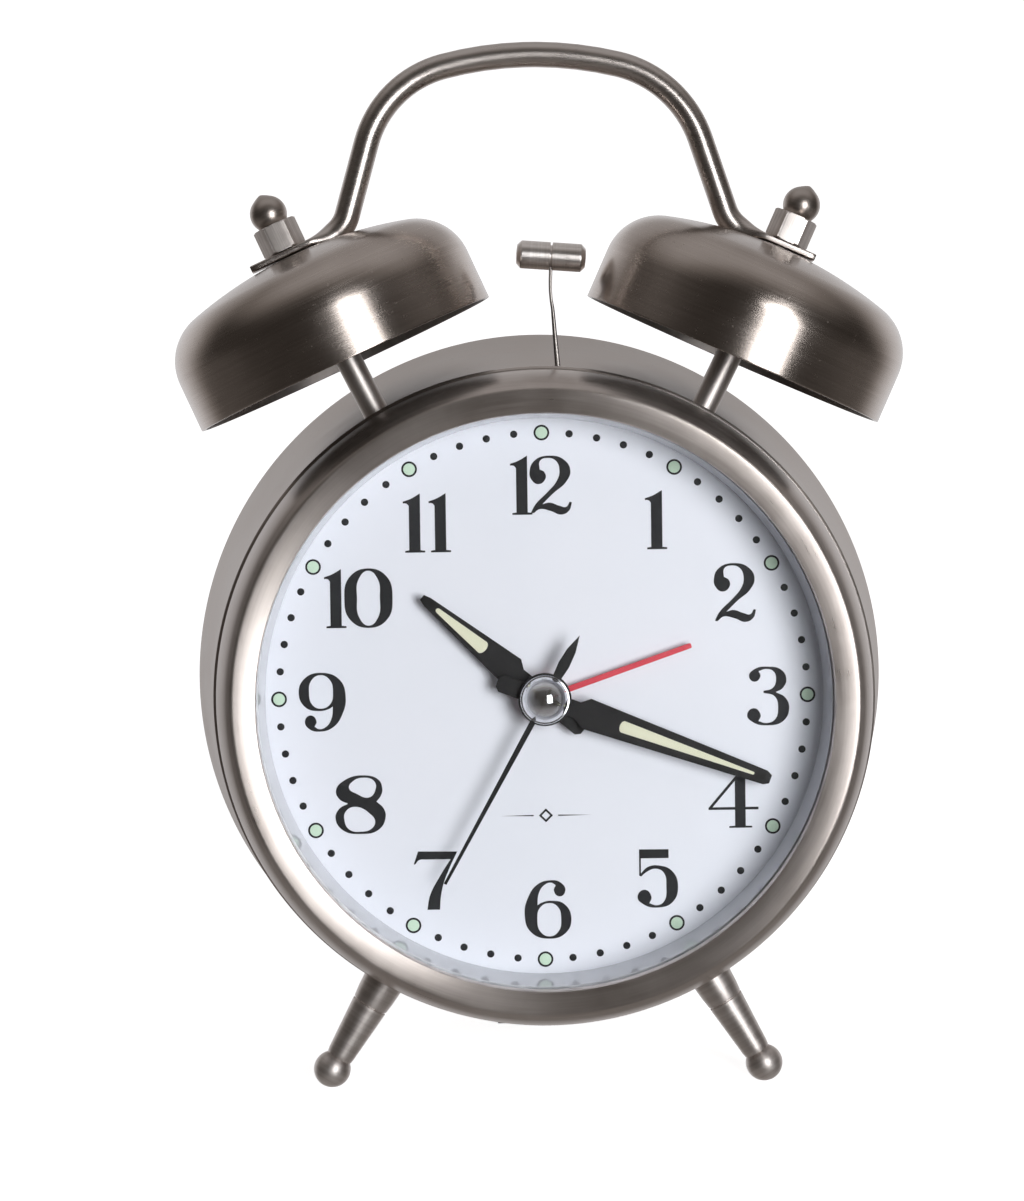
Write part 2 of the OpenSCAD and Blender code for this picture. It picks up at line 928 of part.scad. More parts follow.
module movement_rear() {
    inside = move_rear - move_wall;
    color(ivory)
        clock_frame()
            difference() {
                union() {
                    difference() {
                        slab(move_split, move_rear) housing_outline(0);
                        slab(move_split - 1, inside) housing_outline(-move_wall);
                    }
                    axle(motion_at, motion_layer[0] - 1, inside + eps, 0.8);
                    axle(reduction_at, second_layer[0] - 0.2, inside + eps, 0.4);
                    axle(rotor_at, reduction_layer[0] - 0.2, inside + eps, 0.2);
                    for (at = [[0, 0], third_at])
                        difference() {
                            axle(at, 14.6, inside + eps, 1.6);
                            axle(at, 13, inside - 0.2, (at == third_at ? 0.5 : second_shaft_r) + fit);
                        }
                }
                for (at = [time_at, alarm_at])
                    axle(at, 10, 20, shaft_r + fit);
            }
}

// ---- controls and battery ----

// Finger knob on a shaft that carries the setting pinion inside the movement
module knob(at, teeth, phase, layer) {
    ribs = 18;
    knob_front = cover_rear + 0.4;
    knob_rear = cover_rear + 5;
    translate([at[0], 0, at[1]]) {
        axle([0, 0], layer[0], knob_front + eps, shaft_r);
        slab(knob_front, knob_rear)
            difference() {
                circle(r = knob_r);
                for (i = [0:ribs - 1])
                    rotate(360 * i / ribs)
                        translate([knob_r, 0]) circle(r = 0.5, $fn = 24);
            }
    }
    gear(at, teeth, motion_m, phase, layer);
}

module time_knob() {
    color(ivory)
        clock_frame()
            knob(time_at, 10, motion_dir - 180 + 18, motion_layer);
}

module alarm_knob() {
    color(ivory)
        clock_frame()
            knob(alarm_at, 20, 150 + 9, alarm_layer);
}

module alarm_switch() {
    color(ivory)
        clock_frame() {
            slab(cover_front - 1.5, cover_front - 0.3)
                translate([switch_x - 3, switch_z - 5]) square([6, 6]);
            slab(cover_front - 0.31, cover_rear + 1.6)
                translate([switch_x - 1.3, switch_z - 3.5]) square([2.6, 3]);
        }
}

module battery_tray() {
    tray_front = battery_y - battery_r - 1.3;
    color(dark)
        clock_frame()
            difference() {
                slab(tray_front, cover_front - 0.05)
                    translate([-tray_w / 2, battery_z - tray_h / 2]) square([tray_w, tray_h]);
                slab(tray_front + 1, cover_front + 1)
                    translate([-tray_w / 2 + 1, battery_z - tray_h / 2 + 1])
                        square([tray_w - 2, tray_h - 2]);
            }
}

module battery() {
    color([0.2, 0.25, 0.3])
        clock_frame()
            translate([-battery_len / 2, battery_y, battery_z])
                rotate([0, 90, 0])
                    union() {
                        cylinder(h = battery_len - 1, r = battery_r);
                        cylinder(h = battery_len, r = 2.7);
                    }
}

module battery_spring() {
    coil_r = 2.6;
    wire_r = 0.35;
    color(steel)
        clock_frame() {
            translate([-battery_len / 2 - 2.5, battery_y - 4.5, battery_z - 4.5])
                cube([0.4, 9, 9]);
            for (i = [0:3])
                translate([-battery_len / 2 - 2.1 + i * 0.5, battery_y, battery_z])
                    rotate([0, 90, 0])
                        rotate_extrude()
                            translate([coil_r, 0]) circle(r = wire_r, $fn = 16);
        }
}

module battery_plate() {
    color(steel)
        clock_frame()
            translate([battery_len / 2 + 0.1, battery_y - 4, battery_z - 4])
                cube([0.5, 8, 8]);
}

module battery_door() {
    color(dark)
        clock_frame()
            difference() {
                slab(cover_rear - 0.9, cover_rear + 0.3)
                    translate([-door_w / 2, battery_z - door_h / 2]) square([door_w, door_h]);
                for (i = [-2:2])
                    slab(cover_rear - 0.1, cover_rear + 1)
                        translate([-6, battery_z - 0.4 + i * 1.8]) square([12, 0.8]);
            }
}

case_drum();
front_bezel();
front_lens();
lens_gasket();
reflector_ring();
dial_plate();
back_cover();
back_screws();
rear_rest_pad();
foot_left();
foot_right();
foot_nuts();
bell_left();
bell_right();
bell_post_left();
bell_post_right();
post_nuts();
bell_nut_left();
bell_nut_right();
finial_left();
finial_right();
carry_handle();
hammer_head();
hammer_arm();
hammer_pivot();
bell_motor();
motor_crank();
hour_hand();
minute_hand();
second_hand();
alarm_hand();
hub_cap();
hour_wheel();
minute_arbor();
second_arbor();
alarm_wheel();
motion_wheel();
centre_wheel();
third_wheel();
reduction_wheel();
motor_rotor();
stator_plate();
motor_coil();
circuit_board();
movement_front();
movement_rear();
battery_tray();
battery();
battery_spring();
battery_plate();
battery_door();
time_knob();
alarm_knob();
alarm_switch();
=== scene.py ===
# Looks of the twin bell alarm clock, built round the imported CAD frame.
# Lengths are millimetres in the clock frame (X right, Y depth behind the dial, Z up, origin in the
# middle of the dial) until clock_place() sets a piece down in metres in the row frame.
import json
import math

import bmesh
import bpy
from mathutils import Matrix, Vector


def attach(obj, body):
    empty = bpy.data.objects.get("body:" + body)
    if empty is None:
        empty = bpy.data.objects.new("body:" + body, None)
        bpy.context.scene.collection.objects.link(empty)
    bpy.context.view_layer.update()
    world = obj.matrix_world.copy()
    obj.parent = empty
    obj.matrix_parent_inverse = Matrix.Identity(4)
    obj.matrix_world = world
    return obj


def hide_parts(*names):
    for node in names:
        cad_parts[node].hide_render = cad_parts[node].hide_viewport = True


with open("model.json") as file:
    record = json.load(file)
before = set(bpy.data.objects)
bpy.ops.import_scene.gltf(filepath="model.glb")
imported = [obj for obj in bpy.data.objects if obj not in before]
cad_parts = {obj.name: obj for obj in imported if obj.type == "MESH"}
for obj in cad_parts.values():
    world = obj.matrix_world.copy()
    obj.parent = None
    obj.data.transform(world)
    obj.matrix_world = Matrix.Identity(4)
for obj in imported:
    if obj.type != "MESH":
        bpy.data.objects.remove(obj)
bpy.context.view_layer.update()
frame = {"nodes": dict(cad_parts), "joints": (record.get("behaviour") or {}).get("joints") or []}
joints = {j["name"]: j for j in frame["joints"]}
nodes = frame["nodes"]

MM = 0.001
CASE = "case"

# ---- the clock frame, from the minute hand's joint ----

dial_centre = Vector(joints["minute_turn"]["pos_m"])
depth_axis = Vector(joints["minute_turn"]["axis"]).normalized()
right_axis = Vector((1, 0, 0))
up_axis = right_axis.cross(depth_axis)
clock_turn = Matrix((right_axis, depth_axis, up_axis)).transposed()

# Turns the local Z of a round piece to the rear
TO_REAR = Matrix.Rotation(math.radians(-90), 3, "X")


def turn(axis, degrees):
    """Rotation about X, Y or Z."""
    return Matrix.Rotation(math.radians(degrees), 3, axis)


def clock_place(at=(0, 0, 0), rotation=Matrix.Identity(3)):
    """Row-frame matrix of a piece at a point of the clock frame, turned within it."""
    spot = dial_centre + clock_turn @ (Vector(at) * MM)
    return Matrix.Translation(spot) @ (clock_turn @ rotation).to_4x4()


# ---- driving sizes, from the CAD but for a few that follow one used clock ----

DRUM_FRONT_R = 52.6
DRUM_REAR_R = 58.2
DRUM_DEPTH = 42.0
SHEET = 0.8
OPENING_R = 46.5
BEZEL_H = 13.2
DIAL_R = 45.3
BELL_R = 25.9
BELL_H = 19.8
BELL_SHOULDER = 9.0
BELL_DOME = 70.0
BELL_WALL = 0.9
RIM_H = 0.35
BELL_AT = (31.6, 7.2, 54.3)
BELL_TILT = 24.3
BELL_BACK = 2.4
# Each bell has settled a little on its post. Left is -1 and right is 1
BELL_SETTLED = {-1: 2.3, 1: 1.1}
POST_AT = (29.05, 7.0, 50.95)
POST_TILT = 26.6
POST_R = 2.15
STRAP_T = 1.2
STRAP_W = 6.4
NUT_R = 3.7
NUT_H = 4.6
NUT_BASE = BELL_H + STRAP_T + 0.04
# How far each nut and finial sits outward of its bell's axis, and each strap end of its crown
NUT_OUT = {-1: 1.0, 1: 0.3}
STRAP_END = {-1: 7.4, 1: 5.7}
BALL_R = 3.05
ROD_R = 2.1
HANDLE_TOP = 104.4
# Sideways drift of the handle for each millimetre of height above the crowns
HANDLE_LEAN = 0.024
FOOT_AT = (35.65, 7.0, -61.75)
FOOT_TILT = 31.0
FOOT_BALL_R = 3.05
HAMMER_Y = 7.0
HAMMER_AT = (2.15, 7.0, 71.5)
HAMMER_LEN = 11.5
HAMMER_R = 2.3
HAMMER_TILT = 4.5
HAMMER_PIVOT = (3.7, 42.0)
MOTOR_Z = 29.5
PRINT_T = 0.03

# Each hand, which is also its body: degrees clockwise from 12, and depth of its front face
HANDS = {"hour": (310.3, -2.8), "minute": (110.5, -4.0), "second": (209.1, -5.2), "alarm": (71.1, -1.7)}
HAND_T = 0.4


# ---- outlines ----


def sin(degrees):
    return math.sin(math.radians(degrees))


def cos(degrees):
    return math.cos(math.radians(degrees))


def arc(centre, r, start, end, steps):
    """Points of an arc, degrees from +X, in the plane of an outline."""
    turns = [start + (end - start) * i / steps for i in range(steps + 1)]
    return [(centre[0] + r * cos(t), centre[1] + r * sin(t)) for t in turns]


def rounded(points, fillet=0.1, steps=3, closed=True):
    """The outline with its corners rounded. A point may carry its own fillet as a third number."""
    # corners outside these angles stay as they are, and a fillet takes at most this share of an edge
    straight, folded, share = math.radians(172), math.radians(4), 0.45
    out = []
    count = len(points)
    for i, point in enumerate(points):
        here = Vector(point[:2])
        f = point[2] if len(point) > 2 else fillet
        if f <= 0 or (not closed and i in (0, count - 1)):
            out.append(tuple(here))
            continue
        before = Vector(points[i - 1][:2]) - here
        after = Vector(points[(i + 1) % count][:2]) - here
        opening = before.angle(after, math.pi)
        if opening > straight or opening < folded:
            out.append(tuple(here))
            continue
        reach = min(f / math.tan(opening / 2), share * before.length, share * after.length)
        a = here + before.normalized() * reach
        b = here + after.normalized() * reach
        for k in range(steps + 1):
            t = k / steps
            out.append(tuple(a * (1 - t) ** 2 + here * 2 * t * (1 - t) + b * t * t))
    return out


def drum_radius(depth):
    """Outer radius of the drum at a depth behind the dial: a flare that steepens to the rear."""
    flare = 1.25
    return DRUM_FRONT_R + (DRUM_REAR_R - DRUM_FRONT_R) * (max(depth, 0) / DRUM_DEPTH) ** flare


# ---- meshes ----


def mark_sharp(bm, degrees):
    """Smooth faces, with the edges steeper than a limit kept sharp."""
    limit = math.radians(degrees)
    for face in bm.faces:
        face.smooth = True
    for edge in bm.edges:
        edge.smooth = len(edge.link_faces) == 2 and edge.calc_face_angle(0) < limit


def linked(name, data):
    """A new object in the scene."""
    obj = bpy.data.objects.new(name, data)
    bpy.context.scene.collection.objects.link(obj)
    return obj


def piece_from(bm, name, matrix, material, sharp=35.0):
    """Links a finished bmesh, made in millimetres, as an object placed in metres."""
    bmesh.ops.remove_doubles(bm, verts=bm.verts, dist=1e-4)
    bmesh.ops.recalc_face_normals(bm, faces=bm.faces)
    mark_sharp(bm, sharp)
    bmesh.ops.scale(bm, vec=(MM, MM, MM), verts=bm.verts)
    mesh = bpy.data.meshes.new(name)
    bm.to_mesh(mesh)
    bm.free()
    mesh.materials.append(material)
    obj = linked(name, mesh)
    obj.matrix_world = matrix
    flatten = obj.modifiers.new("flat faces stay flat", "WEIGHTED_NORMAL")
    flatten.keep_sharp = True
    flatten.weight = 100
    return obj


def lathe_into(bm, profile, segments, matrix=Matrix.Identity(4), closed=True):
    """Revolves a (radius, height) outline about Z into bm."""
    rings = []
    for i in range(segments):
        a = 2 * math.pi * i / segments
        spots = [Vector((r * math.cos(a), r * math.sin(a), z)) for r, z in profile]
        rings.append([bm.verts.new(matrix @ spot) for spot in spots])
    count = len(profile)
    for i in range(segments):
        here, there = rings[i], rings[(i + 1) % segments]
        for k in range(count if closed else count - 1):
            m = (k + 1) % count
            if profile[k][0] < 1e-6 and profile[m][0] < 1e-6:
                continue
            if profile[k][0] < 1e-6:
                bm.faces.new((here[k], there[m], here[m]))
            elif profile[m][0] < 1e-6:
                bm.faces.new((here[k], there[k], here[m]))
            else:
                bm.faces.new((here[k], there[k], there[m], here[m]))


def lathe(name, profile, matrix, material, segments=192, sharp=35.0):
    """A turned piece from a closed outline."""
    bm = bmesh.new()
    lathe_into(bm, profile, segments)
    return piece_from(bm, name, matrix, material, sharp)


def curve_solid(name, contours, thickness, bevel=0.0, smooth=False, resolution=8):
    """A flat solid from closed outlines, holes included, with softened edges, as a bmesh.

    It lies in XY with its middle at Z 0. A point with a third number is a corner of a smooth outline.
    """
    curve = bpy.data.curves.new(name, "CURVE")
    curve.dimensions = "2D"
    curve.fill_mode = "BOTH"
    curve.extrude = max(thickness / 2 - bevel, 0)
    curve.bevel_depth = bevel
    curve.bevel_resolution = 2
    curve.offset = -bevel
    curve.resolution_u = resolution
    for points in contours:
        if smooth:
            spline = curve.splines.new("BEZIER")
            spline.bezier_points.add(len(points) - 1)
            for b, p in zip(spline.bezier_points, points):
                b.co = (p[0], p[1], 0)
                kind = "VECTOR" if len(p) > 2 else "AUTO"
                b.handle_left_type = kind
                b.handle_right_type = kind
        else:
            spline = curve.splines.new("POLY")
            spline.points.add(len(points) - 1)
            for b, p in zip(spline.points, points):
                b.co = (p[0], p[1], 0, 1)
        spline.use_cyclic_u = True
    maker = linked(name + "_curve", curve)
    bpy.context.view_layer.update()
    evaluated = maker.evaluated_get(bpy.context.evaluated_depsgraph_get())
    mesh = bpy.data.meshes.new_from_object(evaluated)
    bm = bmesh.new()
    bm.from_mesh(mesh)
    bpy.data.objects.remove(maker)
    bpy.data.curves.remove(curve)
    bpy.data.meshes.remove(mesh)
    return bm


def face_front(bm, front, rear):
    """Stands a flat solid up to face the front: its outline becomes X and Z, between two depths."""
    lift = Matrix.Translation((0, (front + rear) / 2, 0)) @ turn("X", 90).to_4x4()
    bmesh.ops.transform(bm, matrix=lift, verts=bm.verts)


def plate(name, contours, front, rear, matrix, material, bevel):
    """A flat piece facing the front: outline X and Z of the clock frame, between two depths."""
    bm = curve_solid(name, contours, rear - front, bevel)
    face_front(bm, front, rear)
    return piece_from(bm, name, matrix, material, 50)


def skin(bm, rings):
    """Joins rings of vertices one after another, and closes both ends."""
    count = len(rings[0])
    for here, there in zip(rings, rings[1:]):
        for j in range(count):
            k = (j + 1) % count
            bm.faces.new((here[j], here[k], there[k], there[j]))
    bm.faces.new(rings[0][::-1])
    bm.faces.new(rings[-1])


def swept(name, stations, section_steps, matrix, material):
    """Sweeps a superellipse along stations of (centre, up, half width, half thickness, squareness)."""
    across = Vector((0, 1, 0))
    bm = bmesh.new()
    rings = []
    for centre, up, half_w, half_t, square in stations:
        ring = []
        for j in range(section_steps):
            a = 2 * math.pi * j / section_steps
            s, c = math.sin(a), math.cos(a)
            lift = half_t * math.copysign(abs(s) ** square, s)
            out = half_w * math.copysign(abs(c) ** square, c)
            ring.append(bm.verts.new(centre + up * lift + across * out))
        rings.append(ring)
    skin(bm, rings)
    return piece_from(bm, name, matrix, material, 40)


def finish_piece(obj, body, slot, *replaced):
    """Says which body a piece moves with, and the CAD nodes that it stands in for. The material slot is
    not used.
    """
    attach(obj, body)
    if replaced:
        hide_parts(*replaced)


# ---- materials. Noise scales and grains are per metre ----


def set_inputs(node, **values):
    """Sets the unlinked inputs of a node, with _ for a space in a name."""
    for key, value in values.items():
        node.inputs[key.replace("_", " ")].default_value = value


class Shader:
    """A small helper round one node material with a Principled shader."""

    def __init__(self, name):
        self.material = bpy.data.materials.new(name)
        self.material.use_nodes = True
        self.tree = self.material.node_tree
        self.tree.nodes.clear()
        self.out = self.tree.nodes.new("ShaderNodeOutputMaterial")
        self.bsdf = self.tree.nodes.new("ShaderNodeBsdfPrincipled")
        self.link(self.bsdf.outputs["BSDF"], self.out.inputs["Surface"])
        self.coords = self.tree.nodes.new("ShaderNodeTexCoord").outputs["Object"]

    def link(self, a, b):
        self.tree.links.new(a, b)

    def set(self, **values):
        set_inputs(self.bsdf, **values)

    def node(self, kind, **settings):
        made = self.tree.nodes.new(kind)
        for key, value in settings.items():
            setattr(made, key, value)
        return made

    def math(self, operation, a, b=None, c=None):
        made = self.node("ShaderNodeMath", operation=operation)
        for socket, value in zip(made.inputs, (a, b, c)):
            if value is None:
                continue
            if isinstance(value, (int, float)):
                socket.default_value = value
            else:
                self.link(value, socket)
        return made.outputs[0]

    def noise(self, scale, detail=3.0, rough=0.55, vector=None, distortion=0.0):
        made = self.node("ShaderNodeTexNoise")
        set_inputs(made, Scale=scale, Detail=detail, Roughness=rough, Distortion=distortion)
        self.link(self.coords if vector is None else vector, made.inputs["Vector"])
        return made.outputs["Fac"]

    def stretched(self, scale):
        """Object coordinates scaled by a vector, for a grain with a direction."""
        made = self.node("ShaderNodeMapping")
        set_inputs(made, Scale=scale)
        self.link(self.coords, made.inputs["Vector"])
        return made.outputs["Vector"]

    def round_grain(self, fine, coarse, radial):
        """Coordinates that change fast across a turned piece and slowly round it."""
        split = self.node("ShaderNodeSeparateXYZ")
        self.link(self.coords, split.inputs[0])
        flat = self.node("ShaderNodeCombineXYZ")
        for axis in "XY":
            self.link(split.outputs[axis], flat.inputs[axis])
        length = self.node("ShaderNodeVectorMath", operation="LENGTH")
        self.link(flat.outputs[0], length.inputs[0])
        across = self.math("MULTIPLY_ADD", length.outputs["Value"], radial, split.outputs["Z"])
        grain = self.node("ShaderNodeCombineXYZ")
        for axis in "XY":
            self.link(self.math("MULTIPLY", split.outputs[axis], coarse), grain.inputs[axis])
        self.link(self.math("MULTIPLY", across, fine), grain.inputs["Z"])
        return grain.outputs[0]

    def ramp(self, value, low, high, stops):
        """Maps value between low and high on to colours, or on to numbers."""
        made = self.node("ShaderNodeMapRange")
        set_inputs(made, From_Min=low, From_Max=high)
        self.link(value, made.inputs["Value"])
        if isinstance(stops[0], (int, float)):
            set_inputs(made, To_Min=stops[0], To_Max=stops[1])
            return made.outputs[0]
        colours = self.node("ShaderNodeValToRGB")
        self.link(made.outputs[0], colours.inputs["Fac"])
        elements = colours.color_ramp.elements
        while len(elements) < len(stops):
            elements.new(0.5)
        for i, (element, colour) in enumerate(zip(elements, stops)):
            element.position = i / (len(stops) - 1)
            element.color = (*colour, 1)
        return colours.outputs["Color"]

    def colour(self, socket):
        self.link(socket, self.bsdf.inputs["Base Color"])

    def roughness(self, socket):
        self.link(socket, self.bsdf.inputs["Roughness"])

    def bump(self, height, distance, strength, base=None):
        made = self.node("ShaderNodeBump")
        set_inputs(made, Distance=distance, Strength=strength)
        self.link(height, made.inputs["Height"])
        if base is not None:
            self.link(base, made.inputs["Normal"])
        self.link(made.outputs["Normal"], self.bsdf.inputs["Normal"])
        return made.outputs["Normal"]


def nickel(name, light, dark, rough, grain="turned", radial=-1.0, anisotropy=0.6, scratches=0.5,
           fine=2600.0, relief=0.7):
    """Satin nickel plate: brown-grey metal, fine brushing, small specks and worn patches.

    The grain runs round a turned piece, or along its local X or Z.
    """
    s = Shader(name)
    s.set(Metallic=1.0, Anisotropic=anisotropy)
    coarse, patch_scale, speck_scale = 60.0, 70.0, 1500.0
    if grain == "turned":
        streaks = s.round_grain(fine, coarse, radial)
    elif grain == "along_x":
        streaks = s.stretched((coarse, fine, fine))
    else:
        streaks = s.stretched((fine, fine, coarse))
    lines = s.noise(1.0, 4.0, 0.6, streaks)
    patches = s.noise(patch_scale, 4.0, 0.6, distortion=0.4)
    specks = s.noise(speck_scale, 2.0, 0.5)
    tone = s.math("MULTIPLY_ADD", lines, 0.45, s.math("MULTIPLY", patches, 0.55))
    s.colour(s.ramp(tone, 0.32, 0.68, (dark, light)))
    base_rough = s.ramp(tone, 0.3, 0.7, (rough * 0.82, rough * 1.2))
    dots = s.ramp(specks, 0.68, 0.78, (0.0, 0.16 * scratches))
    s.roughness(s.math("ADD", base_rough, dots))
    if anisotropy:
        tangent = s.node("ShaderNodeTangent", direction_type="RADIAL", axis="Z")
        s.link(tangent.outputs[0], s.bsdf.inputs["Tangent"])
        s.set(Anisotropic_Rotation=0.25)
    brushed = s.bump(lines, 0.000003, relief)
    s.bump(specks, 0.00001, 0.25 * scratches, brushed)
    return s.material


def plastic(name, light, dark, rough, grain_mm, grain_height, specular=0.5):
    """Moulded plastic or lacquer with a fine texture and slight colour drift."""
    s = Shader(name)
    s.set(Specular_IOR_Level=specular)
    drift = s.noise(45.0, 3.0)
    fine = s.noise(1000.0 / grain_mm, 3.0, 0.6)
    mixed = s.math("MULTIPLY_ADD", fine, 0.35, s.math("MULTIPLY", drift, 0.65))
    s.colour(s.ramp(mixed, 0.35, 0.65, (dark, light)))
    s.roughness(s.ramp(fine, 0.3, 0.7, (rough * 0.85, rough * 1.15)))
    s.bump(fine, grain_height, 0.5)
    return s.material


def plain_metal(name, light, dark, rough, grain=(400.0, 2500.0, 400.0)):
    """Bare or plated metal with a straight grain, finest along the axis with the largest number."""
    s = Shader(name)
    s.set(Metallic=1.0)
    lines = s.noise(1.0, 4.0, 0.6, s.stretched(grain))
    drift = s.noise(90.0, 3.0)
    mixed = s.math("MULTIPLY_ADD", lines, 0.5, s.math("MULTIPLY", drift, 0.5))
    s.colour(s.ramp(mixed, 0.32, 0.68, (dark, light)))
    s.roughness(s.ramp(mixed, 0.3, 0.7, (rough * 0.8, rough * 1.25)))
    s.bump(lines, 0.000006, 0.7)
    return s.material


def lens_glass():
    """Clear glass with a very faint tint and a few specks of dust."""
    s = Shader("lens_glass_clear")
    s.set(Transmission_Weight=1.0, IOR=1.45)
    dust = s.noise(900.0, 2.0)
    tint = s.noise(12.0, 2.0)
    s.colour(s.ramp(tint, 0.3, 0.7, ((0.985, 0.992, 0.995), (1.0, 1.0, 1.0))))
    s.roughness(s.ramp(dust, 0.72, 0.8, (0.0, 0.03)))
    return s.material


NICKEL_LIGHT = (0.6, 0.53, 0.485)
NICKEL_DARK = (0.45, 0.39, 0.35)
mat_bell = nickel("bell_nickel_brushed", NICKEL_LIGHT, NICKEL_DARK, 0.25, scratches=1.2)
mat_drum = nickel("case_nickel_brushed", (0.52, 0.455, 0.415), (0.37, 0.32, 0.285), 0.32,
                  radial=0.0, scratches=0.9)
mat_bezel = nickel("bezel_nickel_brushed", (0.68, 0.62, 0.585), (0.53, 0.47, 0.435), 0.31,
                   radial=1.0, anisotropy=0.85, scratches=0.9, relief=0.3)
mat_rod = nickel("handle_nickel_brushed", (0.68, 0.625, 0.59), (0.52, 0.465, 0.43), 0.28,
                 "along_x", anisotropy=0.0)
mat_post = nickel("post_nickel_satin", (0.7, 0.65, 0.62), (0.54, 0.49, 0.46), 0.4,
                  "along_z", anisotropy=0.0)
mat_foot = nickel("foot_nickel_satin", (0.99, 0.94, 0.91), (0.6, 0.54, 0.505), 0.46,
                  radial=0.0, anisotropy=0.3, fine=1500.0)
mat_nut = nickel("nut_nickel_milled", (0.97, 0.91, 0.87), (0.4, 0.355, 0.33), 0.34,
                 "along_z", anisotropy=0.0, fine=3500.0)
mat_finial = nickel("finial_nickel_polished", (0.58, 0.52, 0.48), (0.44, 0.385, 0.35), 0.32,
                    radial=0.0, anisotropy=0.0)
mat_hammer = nickel("hammer_nickel_turned", (0.97, 0.92, 0.89), (0.72, 0.66, 0.62), 0.3,
                    radial=0.0, anisotropy=0.3)

# inside of a bell: rougher nickel, its darker colour is painted shade in the hollow
mat_bell_inside_shaded = plain_metal("bell_inside_painted_shade", (0.38, 0.345, 0.325), (0.25, 0.225, 0.21), 0.42)
mat_arm = plain_metal("hammer_arm_steel", (0.4, 0.37, 0.35), (0.26, 0.235, 0.22), 0.35)
mat_cap = plain_metal("cap_chrome_polished", (0.86, 0.86, 0.87), (0.8, 0.8, 0.81), 0.07)
mat_brass = plain_metal("brass_turned", (0.78, 0.62, 0.33), (0.66, 0.5, 0.25), 0.28)
mat_steel = plain_metal("steel_zinc", (0.62, 0.62, 0.63), (0.5, 0.5, 0.51), 0.32)
mat_copper = plain_metal("coil_copper", (0.7, 0.33, 0.16), (0.55, 0.24, 0.11), 0.3,
                         (3000.0, 300.0, 300.0))

mat_dial = plastic("dial_lacquer", (0.775, 0.8, 0.87), (0.755, 0.785, 0.855), 0.42, 0.5, 4e-6)
mat_ink = plastic("dial_ink", (0.012, 0.0125, 0.015), (0.007, 0.0075, 0.009), 0.5, 0.25, 6e-6, 0.3)
mat_lume_green = plastic("marker_lume", (0.57, 0.73, 0.59), (0.51, 0.67, 0.53), 0.5, 0.2, 1e-5)
mat_lume_cream = plastic("hand_lume", (0.76, 0.77, 0.6), (0.7, 0.71, 0.54), 0.5, 0.2, 1e-5)
mat_hand = plastic("hand_lacquer_black", (0.008, 0.008, 0.0085), (0.004, 0.004, 0.0045), 0.44, 0.4,
                   1e-5, 0.3)
mat_hand_red = plastic("hand_lacquer_red", (0.66, 0.05, 0.075), (0.56, 0.035, 0.06), 0.35, 0.4, 1e-5)
mat_reflector = plastic("reflector_gloss", (0.64, 0.655, 0.7), (0.6, 0.62, 0.665), 0.07, 0.8, 2e-6)
mat_black = plastic("back_plastic_textured", (0.032, 0.032, 0.034), (0.018, 0.018, 0.02), 0.48, 0.45,
                    6e-5)
mat_knob = plastic("knob_plastic", (0.045, 0.045, 0.047), (0.028, 0.028, 0.03), 0.34, 0.6, 2e-5)
mat_rubber = plastic("pad_rubber", (0.028, 0.027, 0.027), (0.016, 0.016, 0.016), 0.75, 0.3, 5e-5)
mat_housing = plastic("housing_plastic_natural", (0.72, 0.71, 0.66), (0.64, 0.63, 0.58), 0.45, 0.5,
                      3e-5)
mat_gear = plastic("gear_acetal", (0.82, 0.8, 0.72), (0.74, 0.72, 0.65), 0.35, 0.4, 2e-5)
mat_board = plastic("board_lacquer", (0.045, 0.2, 0.075), (0.03, 0.15, 0.055), 0.3, 0.3, 1e-5)
mat_wrap = plastic("battery_sleeve", (0.07, 0.1, 0.16), (0.045, 0.07, 0.12), 0.25, 0.8, 1e-5)
mat_magnet = plastic("rotor_ferrite", (0.07, 0.07, 0.072), (0.045, 0.045, 0.047), 0.5, 0.2, 3e-5)
mat_glass = lens_glass()


# ---- case ----

to_rear = clock_place(rotation=TO_REAR)


def build_drum():
    """Flared sheet wall with a rolled rear lip and a slot for the hammer's arm."""
    segments = 360
    slot_front, slot_rear = 5.5, 8.5
    # the hammer's slot is at the top of the drum, one degree for each segment
    slot_turns = range(268, 276)
    rear_steps = 14
    step = DRUM_DEPTH - slot_rear
    depths = [0, 1.4, 3.2, slot_front]
    depths += [slot_rear + step * i / rear_steps for i in range(rear_steps + 1)]
    lip = 1.6
    lip_at = (DRUM_REAR_R - lip, DRUM_DEPTH)
    outer = [(drum_radius(d), d) for d in depths] + arc(lip_at, lip, 10, 95, 7)
    inner = [(drum_radius(d) - SHEET, d) for d in depths] + arc(lip_at, lip - SHEET, 10, 95, 7)
    bm = bmesh.new()
    rings = []
    for i in range(segments):
        spin = Vector((cos(i), sin(i)))
        rings.append([[bm.verts.new((*(spin * r), z)) for r, z in line] for line in (outer, inner)])
    first, last = depths.index(slot_front), depths.index(slot_rear)
    span = len(outer) - 1
    for i in range(segments):
        here, there = rings[i], rings[(i + 1) % segments]
        open_here = i in slot_turns
        for k in range(span):
            if open_here and first <= k < last:
                continue
            bm.faces.new((here[0][k], there[0][k], there[0][k + 1], here[0][k + 1]))
            bm.faces.new((here[1][k + 1], there[1][k + 1], there[1][k], here[1][k]))
        for k in (0, span):
            bm.faces.new((here[0][k], here[1][k], there[1][k], there[0][k]))
        if open_here:
            for k in (first, last):
                bm.faces.new((here[0][k], there[0][k], there[1][k], here[1][k]))
    for i in (slot_turns[0], slot_turns[-1] + 1):
        ring = rings[i]
        for k in range(first, last):
            bm.faces.new((ring[0][k], ring[0][k + 1], ring[1][k + 1], ring[1][k]))
    obj = piece_from(bm, "case_drum_wall", to_rear, mat_drum)
    finish_piece(obj, CASE, "case_nickel", "case_drum")


